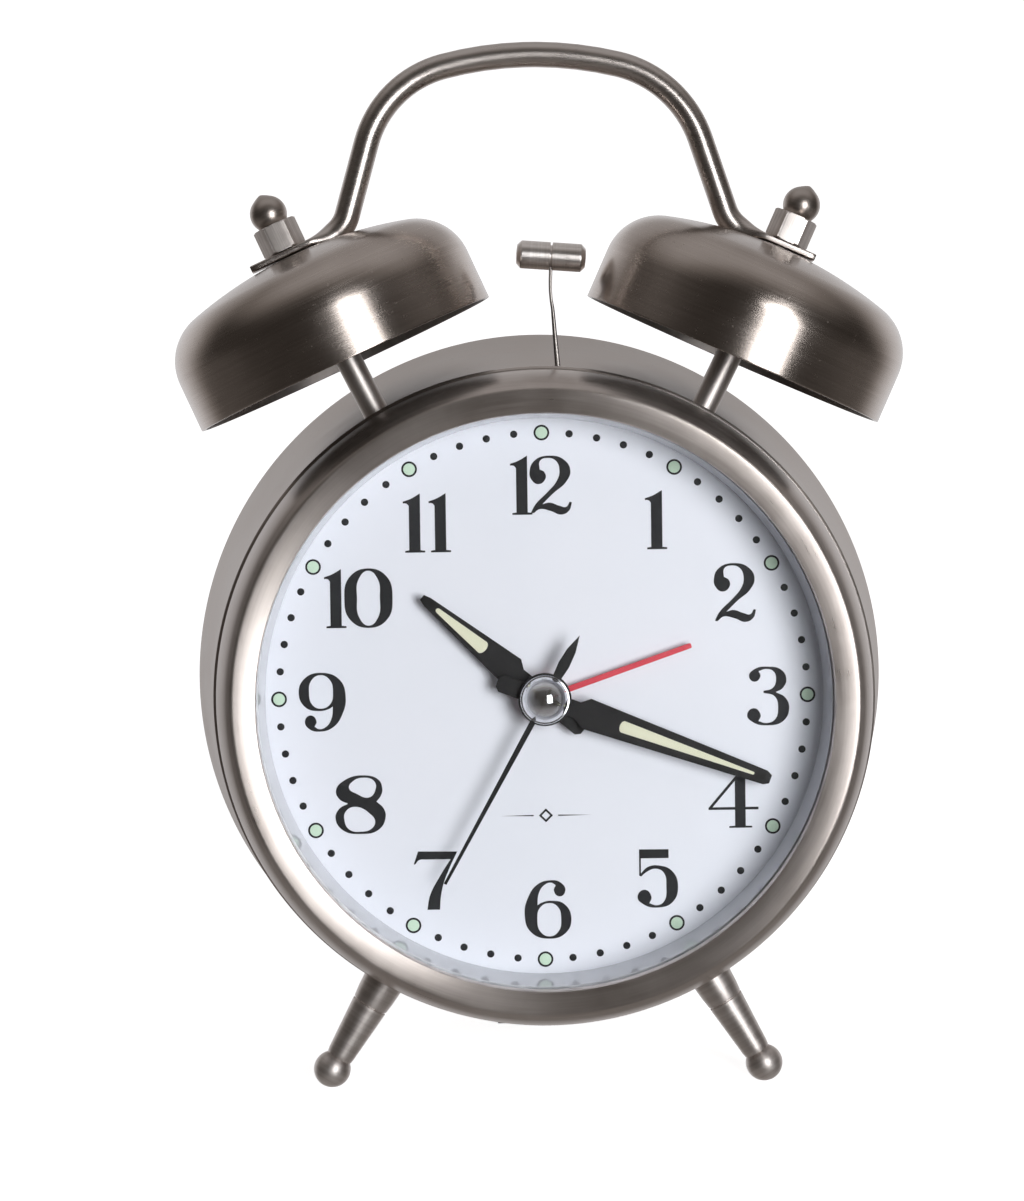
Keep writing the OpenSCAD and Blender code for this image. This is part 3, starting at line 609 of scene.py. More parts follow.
def build_bezel():
    """Front ring: inner bevel, crown, bowed outer band, a groove and a thin flange."""
    bevel_r, crown_r, crown_at = 13.0, 0.8, 50.1
    # the outer band is part of an ellipse, this far out and this far forward of its middle
    band_at, band_rear, band_out, band_forward = 50.2, -1.6, 3.1, 11.35
    face = [(OPENING_R, -BEZEL_H + 3.1, 0.1), (OPENING_R, -BEZEL_H + 0.8, 0.2)]
    bevel = arc((crown_at, bevel_r - BEZEL_H), bevel_r, 254.5, 270, 8)
    crown = arc((crown_at, -BEZEL_H + crown_r), crown_r, 278, 322, 5)
    turns = [17 + 4 * i for i in range(18)]
    band = [(band_at + band_out * sin(t), band_rear - band_forward * cos(t)) for t in turns]
    flange = [(53.05, -1.75, 0.1), (53.45, -1.6, 0.12), (53.8, -1.3, 0.15), (53.8, 0.5, 0.15)]
    back = [(52.75, 0.5, 0.1), (52.7, -1.4, 0.0), (52.3, -2.9, 0.2), (50.2, -9.6, 0.3), (49.6, -11.0, 0.2)]
    points = face + [(*p, 0.0) for p in bevel + crown + band] + flange + back
    obj = lathe("front_bezel_ring", rounded(points, 0.1, 4), to_rear, mat_bezel, 360)
    finish_piece(obj, CASE, "bezel_nickel", "front_bezel")


def build_lens():
    """Flat pane that casts no shadow, so the dial behind it gets its light directly."""
    front, rear, r = -10.0, -8.4, 48.6
    points = [
        (0, front, 0), (r - 0.5, front, 0), (r, front, 0.25),
        (r, rear, 0.25), (r - 0.5, rear, 0), (0, rear, 0),
    ]
    obj = lathe("front_lens_pane", rounded(points), to_rear, mat_glass, 192)
    obj.visible_shadow = False
    obj.visible_diffuse = False
    finish_piece(obj, CASE, "lens_glass", "front_lens")


def build_reflector():
    """Glossy ring that slopes from the lens out to the dial."""
    front, step, rear = -8.4, -7.3, -0.05
    lens_seat_r, outer_r = 48.5, 51.4
    points = [
        (OPENING_R - 0.2, front, 0.15), (lens_seat_r, front, 0.1), (lens_seat_r, step, 0.1),
        (50.2, step, 0.2), (outer_r, -2, 0.3), (outer_r, rear, 0.1), (DIAL_R, rear, 0.2),
    ]
    obj = lathe("reflector_ring_gloss", rounded(points), to_rear, mat_reflector, 256)
    finish_piece(obj, CASE, "reflector_white", "reflector_ring")


# Numerals, drawn 100 units high. A third number marks a corner; other points are smooth.
DIGITS = {
    "1": (37, [
        [(0, 86.5, 1), (13, 91), (29, 100, 1), (29, 4, 1), (37, 3, 1), (37, 0, 1), (3, 0, 1), (3, 3, 1),
         (10, 4, 1), (10, 79, 1), (6, 83), (0, 83.5, 1)],
    ]),
    "2": (71, [
        [(0, 73), (8, 91), (34, 99.5), (60, 91), (69, 73), (61, 54), (40, 36), (21, 17.5, 1), (33, 20),
         (50, 14.5), (61, 12.5), (67, 21, 1), (71, 20, 1), (66, 6), (53, -0.5), (34, 6), (16, 9),
         (5, 1, 1), (1, 2.5, 1), (9, 17), (31, 39), (46, 57), (50.5, 74), (44, 91), (30, 95.5),
         (18, 91), (17, 76.5, 1), (25.5, 71), (26.5, 60), (14.5, 51.5), (2.5, 60)],
    ]),
    "3": (73, [
        [(4.7, 84), (14, 96), (36, 100), (60, 94), (68, 79), (62, 63.5), (50, 56.5, 1), (66, 47),
         (72.5, 29), (62, 7), (36, 0), (10, 6), (0.8, 18), (12.3, 29.5), (23.8, 18), (20, 7.5, 1),
         (34, 4), (48, 10), (53.5, 29), (48, 49), (29, 55.5, 1), (29, 58.7, 1), (45, 64), (50.5, 79),
         (46, 92), (34, 96), (21, 92.5, 1), (24, 84), (14.4, 74.6)],
    ]),
    "4": (85, [
        [(0, 31, 1), (45, 31, 1), (45, 3.5, 1), (35, 3, 1), (35, 0, 1), (74, 0, 1), (74, 3, 1),
         (63, 3.5, 1), (63, 31, 1), (85, 31, 1), (85, 35.5, 1), (63, 35.5, 1), (63, 100, 1),
         (56, 100, 1), (0, 34.5, 1)],
        [(7, 35.5, 1), (45, 35.5, 1), (45, 80, 1)],
    ]),
    "5": (70, [
        [(3.7, 100, 1), (54, 99.5, 1), (54, 84.5, 1), (6.7, 84.5, 1), (6.7, 59, 1), (18, 69.5),
         (37, 72), (60, 62), (69.5, 36), (60, 9), (35, 0), (10, 6), (0.4, 19), (12.2, 30.8), (24, 19),
         (20.5, 7.5, 1), (34, 4), (45, 10), (49.5, 36), (45, 60), (32, 66.5), (16, 61), (7, 53.5, 1),
         (3.7, 55, 1)],
    ]),
    "7": (74, [
        [(7.5, 100, 1), (74, 99, 1), (61, 72), (50, 44), (45, 20), (43.5, 0, 1), (22, 0, 1), (27, 25),
         (44, 57), (62.5, 86, 1), (22, 86, 1), (9, 85), (2.5, 78, 1), (0, 78, 1)],
    ]),
    "8": (85, [
        [(50, 100), (16, 92), (1.5, 75), (7, 60), (21.5, 52, 1), (6, 43), (0, 27), (12, 7), (42, 0),
         (73, 7), (85, 28), (82, 43), (70, 55, 1), (78, 66), (80, 78), (74, 92)],
        [(47, 96), (29, 89), (23.6, 79), (36, 69), (58, 62.5), (68, 74), (67, 89)],
        [(32, 46.5), (17, 38), (15, 24), (23, 8), (43, 4), (61, 9), (67, 21), (60, 33)],
    ]),
    "9": (80, [
        [(0, 66), (11, 41), (33, 34.5), (50, 37.5), (57.5, 42, 1), (55, 22), (46, 8), (34, 3.7),
         (26, 8, 1), (29.3, 17.5), (19.5, 27.3), (9.7, 17.5), (17, 4), (35, -0.5), (58, 7), (74, 30),
         (79.5, 56), (70, 87), (38, 99.5), (10, 90)],
        [(37.5, 95.5), (22, 87), (17.5, 66), (23, 45), (37.5, 38.5), (53, 46), (58, 66), (53, 87)],
    ]),
    "0": (81.5, [
        [(40.75, 100.5), (9, 86), (0, 50), (9, 14), (40.75, -0.5), (72.5, 14), (81.5, 50), (72.5, 86)],
        [(40.75, 96.5), (25, 83), (21.5, 50), (25, 17), (40.75, 3.5), (56.5, 17), (60, 50), (56.5, 83)],
    ]),
}
NUMERAL_H = 9.6
# What each hour shows, and where its middle is on the dial
NUMERALS = {
    12: (-0.1, 34.5), 1: (18.5, 28.6), 2: (31.2, 16.6), 3: (36.4, -0.4),
    4: (30.6, -17.1), 5: (18.1, -30.0), 6: (0.1, -34.9), 7: (-18.1, -29.8),
    8: (-30.2, -17.2), 9: (-36.1, -0.3), 10: (-30.0, 16.5), 11: (-18.7, 28.6),
}
# Distance from the left side of a leading 1 to the next digit
SECOND_DIGIT = {10: 34.0, 11: 43.6, 12: 33.0}


def numeral_contours(hour):
    """Outlines of an hour's numeral in millimetres on the dial. A 6 is a 9 turned half round."""
    scale = NUMERAL_H / 100
    text = str(hour) if hour != 6 else "9"
    width, contours = DIGITS[text[0]]
    contours = [list(c) for c in contours]
    if len(text) == 2:
        shift = SECOND_DIGIT[hour]
        more_width, more = DIGITS[text[1]]
        contours += [[(p[0] + shift, *p[1:]) for p in c] for c in more]
        width = shift + more_width
    flip = -1 if hour == 6 else 1
    cx, cz = NUMERALS[hour]
    return [
        [(cx + flip * scale * (p[0] - width / 2), cz + flip * scale * (p[1] - 50), *p[2:]) for p in c]
        for c in contours
    ]


def build_dial():
    """Lacquered plate with raised print: numerals, minute track and ornament."""
    hole_r, plate_r, plate_t = 2.7, 51.4, 0.8
    points = [(hole_r, 0), (plate_r, 0), (plate_r, plate_t), (hole_r, plate_t)]
    obj = lathe("dial_plate_lacquered", rounded(points), to_rear, mat_dial, 256)
    finish_piece(obj, CASE, "dial_white", "dial_plate")
    for hour in NUMERALS:
        bm = curve_solid(f"numeral_{hour}", numeral_contours(hour), PRINT_T, smooth=True, resolution=10)
        face_front(bm, -PRINT_T, 0)
        made = piece_from(bm, f"dial_numeral_{hour:02d}", clock_place(), mat_ink, 50)
        finish_piece(made, CASE, "hand_black")
    build_minute_track()
    build_ornament()


def build_minute_track():
    """Sixty marks: a black dot for each minute, and a ringed pale disc for each hour."""
    track_r, dot_r, mark_r, mark_ring = 43.0, 0.6, 1.28, 0.33
    # the track is printed a little askew
    twist, shift = 0.3, -0.15
    dots, rings, lumes = bmesh.new(), bmesh.new(), bmesh.new()
    for i in range(60):
        a = 6 * i + twist
        spot = Matrix.Translation((track_r * sin(a) + shift, track_r * cos(a), 0))
        if i % 5:
            profile = rounded([(0, 0, 0), (dot_r, 0, 0), (dot_r, PRINT_T, 0.01), (0, PRINT_T, 0)])
            lathe_into(dots, profile, 28, spot)
        else:
            inner = mark_r - mark_ring
            profile = [(inner, 0), (mark_r, 0), (mark_r, PRINT_T), (inner, PRINT_T)]
            lathe_into(rings, profile, 48, spot)
            lume = [(0, 0, 0), (inner + 0.01, 0, 0), (inner + 0.01, 0.03, 0.01), (0, 0.07, 0)]
            lathe_into(lumes, rounded(lume), 40, spot)
    for bm, name, material, slot in (
        (dots, "dial_minute_dots", mat_ink, "hand_black"),
        (rings, "dial_hour_rings", mat_ink, "hand_black"),
        (lumes, "dial_hour_lumes", mat_lume_green, "dial_white"),
    ):
        bmesh.ops.translate(bm, vec=(0, 0, -PRINT_T / 2), verts=bm.verts)
        face_front(bm, -PRINT_T, 0)
        finish_piece(piece_from(bm, name, clock_place(), material, 50), CASE, slot)


def build_ornament():
    """A small line ornament on the lower half of the dial: a diamond between two tapered rules."""
    z, half, inner, bar, gem = -19.4, 7.4, 2.0, 0.11, 1.15
    hole = 0.6 * gem
    contours = [
        [(-half, z, 1), (-inner, z - bar, 1), (-inner, z + bar, 1)],
        [(half, z, 1), (inner, z + bar, 1), (inner, z - bar, 1)],
        [(-gem, z, 1), (0, z - gem, 1), (gem, z, 1), (0, z + gem, 1)],
        [(-hole, z, 1), (0, z - hole, 1), (hole, z, 1), (0, z + hole, 1)],
    ]
    bm = curve_solid("ornament", contours, PRINT_T, smooth=True)
    face_front(bm, -PRINT_T, 0)
    finish_piece(piece_from(bm, "dial_ornament", clock_place(), mat_ink, 50), CASE, "hand_black")


# ---- hands ----


def blade(shoulder, tip, shoulder_at, tip_at, end, neck=1.45, notch=1.4, tail=8.2):
    """Outline of an hour or minute hand pointing up: tail, neck, shoulder, taper and blunt point."""
    tail_half, tail_flare, blunt = 0.75, 0.7, 0.6
    right = [
        (tail_half, -tail), (neck, -tail + tail_flare), (neck, shoulder_at - notch),
        (shoulder, shoulder_at), (tip, tip_at), (tip * blunt, end),
    ]
    return right + [(-x, z) for x, z in reversed(right)]


def inlay(wide, narrow, low, high):
    """Rounded taper of the luminous paint on a hand."""
    flattened = 0.6
    middle = low + wide * flattened
    start = [(x, middle + z * flattened) for x, z in arc((0, 0), wide, 180, 360, 8)]
    return start + arc((0, high - narrow), narrow, 0, 180, 6)


def build_hand(key, contour, material, boss_r, bore, inlay_outline=None):
    """A stamped blade with soft edges, its boss, and luminous paint where there is any."""
    angle, front = HANDS[key]
    rear = front + HAND_T
    place = clock_place(rotation=turn("Y", angle))
    bm = curve_solid(key, [contour], HAND_T, 0.07)
    face_front(bm, front, rear)
    proud = 0.02
    boss_front, boss_rear = front - proud, rear + proud
    boss = [(bore, boss_rear), (boss_r, boss_rear, 0.05), (boss_r, boss_front, 0.08), (bore, boss_front)]
    lathe_into(bm, rounded(boss, 0.03), 72, TO_REAR.to_4x4())
    obj = piece_from(bm, f"{key}_hand_blade", place, material, 45)
    slot = "hand_red" if key == "alarm" else "hand_black"
    finish_piece(obj, key, slot, f"{key}_hand")
    if inlay_outline:
        paint_front, paint_rear = front - 0.06, front + 0.1
        lume = plate(f"{key}_hand_lume", [inlay_outline], paint_front, paint_rear, place, mat_lume_cream,
                     0.04)
        finish_piece(lume, key, "hand_black")


def build_hands():
    """Spade-shouldered hour and minute hands, a leaf-tailed second hand and a red alarm hand."""
    hour, minute = blade(2.48, 0.85, 7.0, 24.6, 25.8), blade(2.55, 1.18, 7.1, 38.0, 38.9)
    build_hand("hour", hour, mat_hand, 3.3, 1.75, inlay(1.1, 0.4, 12.4, 22.8))
    build_hand("minute", minute, mat_hand, 3.2, 1.15, inlay(0.98, 0.24, 12.9, 36.1))
    leaf = [(-0.5, 0.4), (-0.72, -4.0), (-0.95, -6.4), (-0.75, -9.0), (0, -11.8), (0.75, -9.0),
            (0.95, -6.4), (0.72, -4.0), (0.5, 0.4), (0.24, 34.1), (-0.24, 34.1)]
    build_hand("second", leaf, mat_hand, 4.3, 0.55)
    needle = [(-0.5, 0), (0.5, 0), (0.42, 25.1), (0.3, 25.3), (-0.3, 25.3), (-0.42, 25.1)]
    build_hand("alarm", needle, mat_hand_red, 3.6, 2.35)


def build_hub_cap():
    """Polished dome with a narrow stepped rim over the middle of the hands."""
    cap_r, cap_h, lip, steps = 4.0, 2.7, 0.28, 20
    front = HANDS["second"][1]
    dome_r = (cap_r**2 + cap_h**2) / (2 * cap_h)
    edge = math.asin((cap_r - lip) / dome_r)
    dome = []
    for i in range(steps + 1):
        a = edge * i / steps
        dome.append((dome_r * math.sin(a), front - cap_h + dome_r - dome_r * math.cos(a)))
    dome_end = dome[-1][1]
    rim = [
        (cap_r - 0.1, dome_end + 0.02), (cap_r, dome_end + 0.14),
        (cap_r, front - 0.1), (cap_r - 0.1, front),
    ]
    obj = lathe("hub_cap_dome", dome + rim + [(0, front)], to_rear, mat_cap, 128)
    finish_piece(obj, "second", "cap_chrome", "hub_cap")


# ---- bells, posts, nuts and finials ----


def bell_place(side):
    """Middle of a bell's rim, leaning out along its post. Side is -1 for left and 1 for right."""
    lean = turn("X", -BELL_SETTLED[side]) @ turn("Y", side * BELL_TILT)
    return clock_place((side * BELL_AT[0], *BELL_AT[1:]), lean)


def post_place(side):
    """Where a post leaves the drum, leaning out a little more than its bell."""
    lean = turn("X", -BELL_BACK) @ turn("Y", side * POST_TILT)
    return clock_place((side * POST_AT[0], *POST_AT[1:]), lean)


def bell_line(r, top, shoulder, dome, steps):
    """Half section of a bell from rim to crown: skirt, shoulder arc, dome arc."""
    cx = r - shoulder
    drop = dome - shoulder
    cz = top - dome + math.sqrt(drop**2 - cx**2)
    slope = math.degrees(math.asin(cx / drop))
    line = [(r, z) for z in (RIM_H, 2.5, 5.0, cz - 1.5)]
    line += arc((cx, cz), shoulder, 0, 90 - slope, steps)
    line += arc((0, top - dome), dome, 90 - slope, 90, steps)[1:]
    return line


def build_bell(side, name):
    """Spun shell with a turned rim edge. The faces inside it have a duller material, painted darker as
    shade inside the bell.
    """
    w, steps = BELL_WALL, 16
    outer = bell_line(BELL_R, BELL_H, BELL_SHOULDER, BELL_DOME, steps)
    inner = bell_line(BELL_R - w, BELL_H - w, BELL_SHOULDER - w, BELL_DOME - w, steps)
    corners = [(BELL_R - w, RIM_H, 0), (BELL_R - w, 0, 0.28), (BELL_R, 0, 0.28), (BELL_R, RIM_H, 0)]
    rim = rounded(corners, steps=4)
    bm = bmesh.new()
    lathe_into(bm, rim[1:-1] + outer + inner[::-1], 288)
    obj = piece_from(bm, f"{name}_shell", bell_place(side), mat_bell, 40)
    obj.data.materials.append(mat_bell_inside_shaded)
    # inside faces lie within the wall, and look down or inward; they take the darker material, which is
    # painted shade
    edge_r, rim_top = (BELL_R - w * 0.6) * MM, 0.8 * MM
    for face in obj.data.polygons:
        centre = face.center
        flat_r = math.hypot(centre.x, centre.y)
        down = face.normal.z < -0.02 and centre.z > rim_top
        inward = face.normal.x * centre.x + face.normal.y * centre.y < 0
        if flat_r < edge_r and (down or inward):
            face.material_index = 1
    finish_piece(obj, CASE, "bell_nickel", name)


def build_post(side, name):
    """Round rod from inside the drum to the bell's crown, chamfered at both ends."""
    foot, top = -8, 21.0
    points = [
        (0, foot, 0), (POST_R - 0.1, foot, 0), (POST_R, foot + 0.2, 0),
        (POST_R, top - 0.5, 0.2), (POST_R - 0.4, top, 0.2), (0, top, 0),
    ]
    obj = lathe(f"{name}_rod", rounded(points), post_place(side), mat_post, 72)
    finish_piece(obj, CASE, "post_nickel", name)


def build_nut(side, name):
    """Milled hexagon with chamfered corners top and bottom."""
    bm = bmesh.new()
    steps, cham, worn = 6, 0.35, 0.04
    levels = [(0, cham), (cham * 0.6, worn), (NUT_H - cham * 0.6, worn), (NUT_H, cham)]
    rings = []
    for z, inset in levels:
        ring = []
        for i in range(6):
            for k in range(steps):
                t = k / steps
                a, b = 60 * i, 60 * (i + 1)
                x = NUT_R * ((1 - t) * cos(a) + t * cos(b))
                y = NUT_R * ((1 - t) * sin(a) + t * sin(b))
                # a turned chamfer takes more off the corners than off the flats
                cut = min(1.0, (NUT_R - inset) / math.hypot(x, y))
                ring.append(bm.verts.new((x * cut, y * cut, z)))
        rings.append(ring)
    skin(bm, rings)
    place = bell_place(side) @ Matrix.Translation((side * NUT_OUT[side] * MM, 0, NUT_BASE * MM))
    obj = piece_from(bm, f"{name}_hex", place, mat_nut, 12)
    finish_piece(obj, CASE, "nut_nickel", name)


def build_finial(side, name):
    """Polished ball on a short neck, drawn up to a small point."""
    drop = 1.9
    ball = arc((0, 0), BALL_R, -38, 60, 20)
    point = [(1.18, 2.86), (0.84, 3.05), (0.52, 3.2), (0.24, 3.31), (0.08, 3.35), (0.0, 3.36)]
    neck = [(0, -drop), (2.05, -drop), (2.1, -drop + 0.05)]
    height = NUT_BASE + NUT_H + drop
    place = bell_place(side) @ Matrix.Translation((side * NUT_OUT[side] * MM, 0, height * MM))
    obj = lathe(f"{name}_ball", neck + ball + point, place, mat_finial, 96, 50)
    finish_piece(obj, CASE, "finial_nickel", name)


# ---- handle ----


def heading(degrees):
    """Outward direction at an angle from straight up, in the plane of the handle."""
    return Vector((sin(degrees), 0, cos(degrees)))


def along(degrees):
    """Direction of travel where the outward direction is heading(degrees)."""
    return Vector((cos(degrees), 0, -sin(degrees)))


def rod_run(centre, r, start, end, steps):
    """Stations of round rod on an arc."""
    turns = [start + (end - start) * i / steps for i in range(steps + 1)]
    return [(centre + heading(h) * r, h, ROD_R, ROD_R, 1.0) for h in turns]


def squash(rod, flat, steps):
    """Stations of a smooth curve on which the round rod becomes the flat strap."""
    reach = (flat[0] - rod[0]).length / 3
    leave, arrive = along(rod[1]) * reach, along(flat[1]) * reach
    line = []
    for i in range(1, steps + 1):
        t = i / steps
        ease = t * t * (3 - 2 * t)
        p = rod[0] * (1 - t) ** 3 + (rod[0] + leave) * (3 * t * (1 - t) ** 2)
        p += (flat[0] - arrive) * (3 * t * t * (1 - t)) + flat[0] * t**3
        line.append((p,) + tuple(x + (y - x) * ease for x, y in zip(rod[1:], flat[1:])))
    return line


def handle_stations(strap_end):
    """Right half of the rod: flat top arc, corner, straight leg, reverse bend and squashed strap.

    A station is a point, its outward heading, half width, half thickness and squareness.
    """
    top_arc, top_turn, corner_arc, leg_heading, leg_len = 59.0, 14.0, 18.2, 73.0, 12.2
    bend_arc, bend_heading = 6.0, 42.0
    strap_start, strap_lift, strap_square = -2.8, 0.62, 0.35
    rise = BELL_H * cos(BELL_TILT) * cos(BELL_BACK)
    crown = Vector((BELL_AT[0] + BELL_H * sin(BELL_TILT), 0, BELL_AT[2] + rise))

    def strap(out, shrink=1.0):
        p = crown + out * along(BELL_TILT) + strap_lift * heading(BELL_TILT)
        return (p, BELL_TILT, STRAP_W / 2 * shrink, STRAP_T / 2 * shrink, strap_square)

    top = Vector((0, 0, HANDLE_TOP - top_arc))
    corner = top + heading(top_turn) * (top_arc - corner_arc)
    leg_end = corner + heading(leg_heading) * corner_arc + along(leg_heading) * leg_len
    bend_centre = leg_end + heading(leg_heading) * bend_arc
    line = rod_run(top, top_arc, 1, top_turn, 4)
    line += rod_run(corner, corner_arc, top_turn, leg_heading, 16)[1:]
    line += rod_run(bend_centre, -bend_arc, leg_heading, bend_heading, 6)
    line += squash(line[-1], strap(strap_start), 12)
    line += [strap(-2.0), strap(2.6), strap(strap_end - 1.4)]
    # the end of the strap is eased off
    line += [strap(strap_end - 0.3, 0.99), strap(strap_end, 0.93)]
    return line


def build_handle():
    """One bent rod over both bells, leaning a little to the left."""
    crown_rise = BELL_H * cos(BELL_TILT)
    crown_y = BELL_AT[1] + crown_rise * sin(BELL_BACK)
    crown_z = BELL_AT[2] + crown_rise * cos(BELL_BACK)
    left, right = handle_stations(STRAP_END[-1]), handle_stations(STRAP_END[1])
    mirrored = [(Vector((-p.x, 0, p.z)), -h, w, t, q) for p, h, w, t, q in reversed(left)]
    stations = []
    for p, h, w, t, q in mirrored + right:
        centre = p - Vector((0, 0, crown_z))
        centre.x -= HANDLE_LEAN * max(centre.z, 0)
        stations.append((centre, heading(h), w, t, q))
    place = clock_place((0, crown_y, crown_z), turn("X", -BELL_BACK))
    obj = swept("carry_handle_rod", stations, 40, place, mat_rod)
    finish_piece(obj, CASE, "handle_nickel", "carry_handle")


# ---- hammer ----


def build_hammer_head():
    """Turned cylinder with soft ends and a groove round its middle."""
    r, face_r = HAMMER_R, 1.55
    half, shoulder, face = HAMMER_LEN / 2, HAMMER_LEN / 2 - 0.85, HAMMER_LEN / 2 - 0.12
    groove_r, lip, floor = HAMMER_R - 0.5, 0.17, 0.13
    points = [
        (0, -half, 0), (face_r, -face, 0.4), (r, -shoulder, 0.35), (r, -lip, 0.04),
        (groove_r, -floor, 0.04), (groove_r, floor, 0.04), (r, lip, 0.04), (r, shoulder, 0.35),
        (face_r, face, 0.4), (0, half, 0),
    ]
    place = clock_place(HAMMER_AT, turn("Y", 90 + HAMMER_TILT))
    head = lathe("hammer_head_turned", rounded(points, 0.1, 4), place, mat_hammer, 96)
    finish_piece(head, "hammer", "hammer_nickel", "hammer_head")


def build_hammer_arm():
    """Flattened wire that twists once on its way down to the pivot."""
    pivot_x, pivot_z = HAMMER_PIVOT
    # middle X and Z, half width, half depth
    line = [
        (2.1, 69.8, 0.3, 0.8), (2.0, 67.6, 0.3, 0.8), (1.98, 65.8, 0.28, 0.8), (2.1, 64.4, 0.28, 0.8),
        (2.32, 62.9, 0.31, 0.75), (2.48, 60.8, 0.35, 0.7), (2.62, 58.7, 0.38, 0.62),
        (2.8, 56.4, 0.42, 0.55), (3.0, 54.0, 0.45, 0.5), (3.25, 49.0, 0.6, 0.5), (3.5, 45.4, 0.7, 0.5),
        (pivot_x, pivot_z + 2.0, 0.8, 0.5),
    ]
    stations = []
    for i, (x, z, half_w, half_d) in enumerate(line):
        before, after = line[max(i - 1, 0)], line[min(i + 1, len(line) - 1)]
        down = Vector((after[0] - before[0], 0, after[1] - before[1])).normalized()
        side = Vector((down.z, 0, -down.x))
        stations.append((Vector((x, HAMMER_Y, z)), side, half_d, half_w, 0.7))
    arm = swept("hammer_arm_strip", stations, 16, clock_place(), mat_arm)
    finish_piece(arm, "hammer", "hammer_arm_steel", "hammer_arm")


def build_hammer_fork():
    """Inside the case: the arm's eye on the pivot, and its fork round the motor crank."""
    pivot_x, pivot_z = HAMMER_PIVOT
    eye_r, bore, yoke, slot, half_t = 2.6, 1.2, 6.5, 5.2, 0.8
    low, top, slot_top = MOTOR_Z - 3, pivot_z - 2, MOTOR_Z + 4.4
    fork = [(-yoke, low), (-yoke, top)] + arc((0, pivot_z), eye_r, 230, -50, 24)
    fork += [(yoke, top), (yoke, low), (slot, low), (slot, slot_top), (-slot, slot_top), (-slot, low)]
    outline = [(pivot_x + x, z) for x, z in fork]
    hole = arc((pivot_x, pivot_z), bore, 0, 345, 23)
    front, rear = HAMMER_Y - half_t, HAMMER_Y + half_t
    lever = plate("hammer_arm_fork", [outline, hole], front, rear, clock_place(), mat_arm, 0.12)
    finish_piece(lever, "hammer", "hammer_arm_steel")


# ---- feet ----


def build_foot(side, name):
    """Tapered leg with a collar and groove, on a ball with a small ground flat."""
    ball = arc((0, 0), FOOT_BALL_R, -90, 46, 30)
    leg = [(2.2, 2.45, 0.15), (2.3, 3.0, 0.2), (2.98, 11.9, 0.1), (2.98, 12.15, 0.06)]
    groove = [(2.76, 12.25, 0.05), (2.76, 12.4, 0.05)]
    collar = [(3.0, 12.5, 0.08), (3.22, 14.2, 0.3), (3.38, 16.5, 0.3), (3.4, 19.4, 0.1), (0, 19.4, 0)]
    profile = ball + rounded(leg + groove + collar, 0.1, 4, closed=False)
    collar_from, bury = 13, 0.35
    lean = turn("Y", -side * FOOT_TILT)
    place = clock_place((side * FOOT_AT[0], *FOOT_AT[1:]), lean)
    bm = bmesh.new()
    lathe_into(bm, profile, 128)
    # the collar ends within the thickness of the drum's wall
    to_clock = Matrix.Translation((side * FOOT_AT[0], *FOOT_AT[1:])) @ lean.to_4x4()
    for vert in bm.verts:
        spot = to_clock @ vert.co
        flat_r = math.hypot(spot.x, spot.z)
        wall = drum_radius(spot.y) - bury
        if flat_r < wall and vert.co.z > collar_from:
            spot = Vector((spot.x * wall / flat_r, spot.y, spot.z * wall / flat_r))
            vert.co = to_clock.inverted() @ spot
    # the ball is cut flat where it meets the ground
    ground = place.inverted()
    floor_point = ground @ Vector((place.translation.x, place.translation.y, 0)) / MM
    floor_normal = (ground.to_3x3() @ Vector((0, 0, -1))).normalized()
    whole = bm.verts[:] + bm.edges[:] + bm.faces[:]
    cut = bmesh.ops.bisect_plane(bm, geom=whole, plane_co=floor_point, plane_no=floor_normal,
                                 clear_outer=True)
    edges = [e for e in cut["geom_cut"] if isinstance(e, bmesh.types.BMEdge)]
    bmesh.ops.contextual_create(bm, geom=edges)
    obj = piece_from(bm, f"{name}_turned", place, mat_foot, 30)
    finish_piece(obj, CASE, "foot_nickel", name)


# ---- carried-over CAD nodes ----

CAD_MATERIALS = {
    mat_black: ("back_cover", "battery_door", "battery_tray"),
    mat_steel: ("back_screws", "foot_nuts", "post_nuts", "hammer_pivot", "bell_motor", "stator_plate",
                "battery_spring", "battery_plate"),
    mat_rubber: ("rear_rest_pad", "lens_gasket"),
    mat_brass: ("motor_crank", "minute_arbor", "second_arbor", "centre_wheel", "third_wheel"),
    mat_gear: ("hour_wheel", "alarm_wheel", "motion_wheel", "reduction_wheel"),
    mat_magnet: ("motor_rotor",),
    mat_copper: ("motor_coil",),
    mat_board: ("circuit_board",),
    mat_housing: ("movement_front", "movement_rear"),
    mat_wrap: ("battery",),
    mat_knob: ("time_knob", "alarm_knob", "alarm_switch"),
}


def dress_cad_nodes():
    """Gives the CAD nodes that stay, which are behind the dial or on the back, their materials."""
    for material, names in CAD_MATERIALS.items():
        for name in names:
            mesh = nodes[name].data
            mesh.materials.clear()
            mesh.materials.append(material)


# ---- stage, light and camera ----


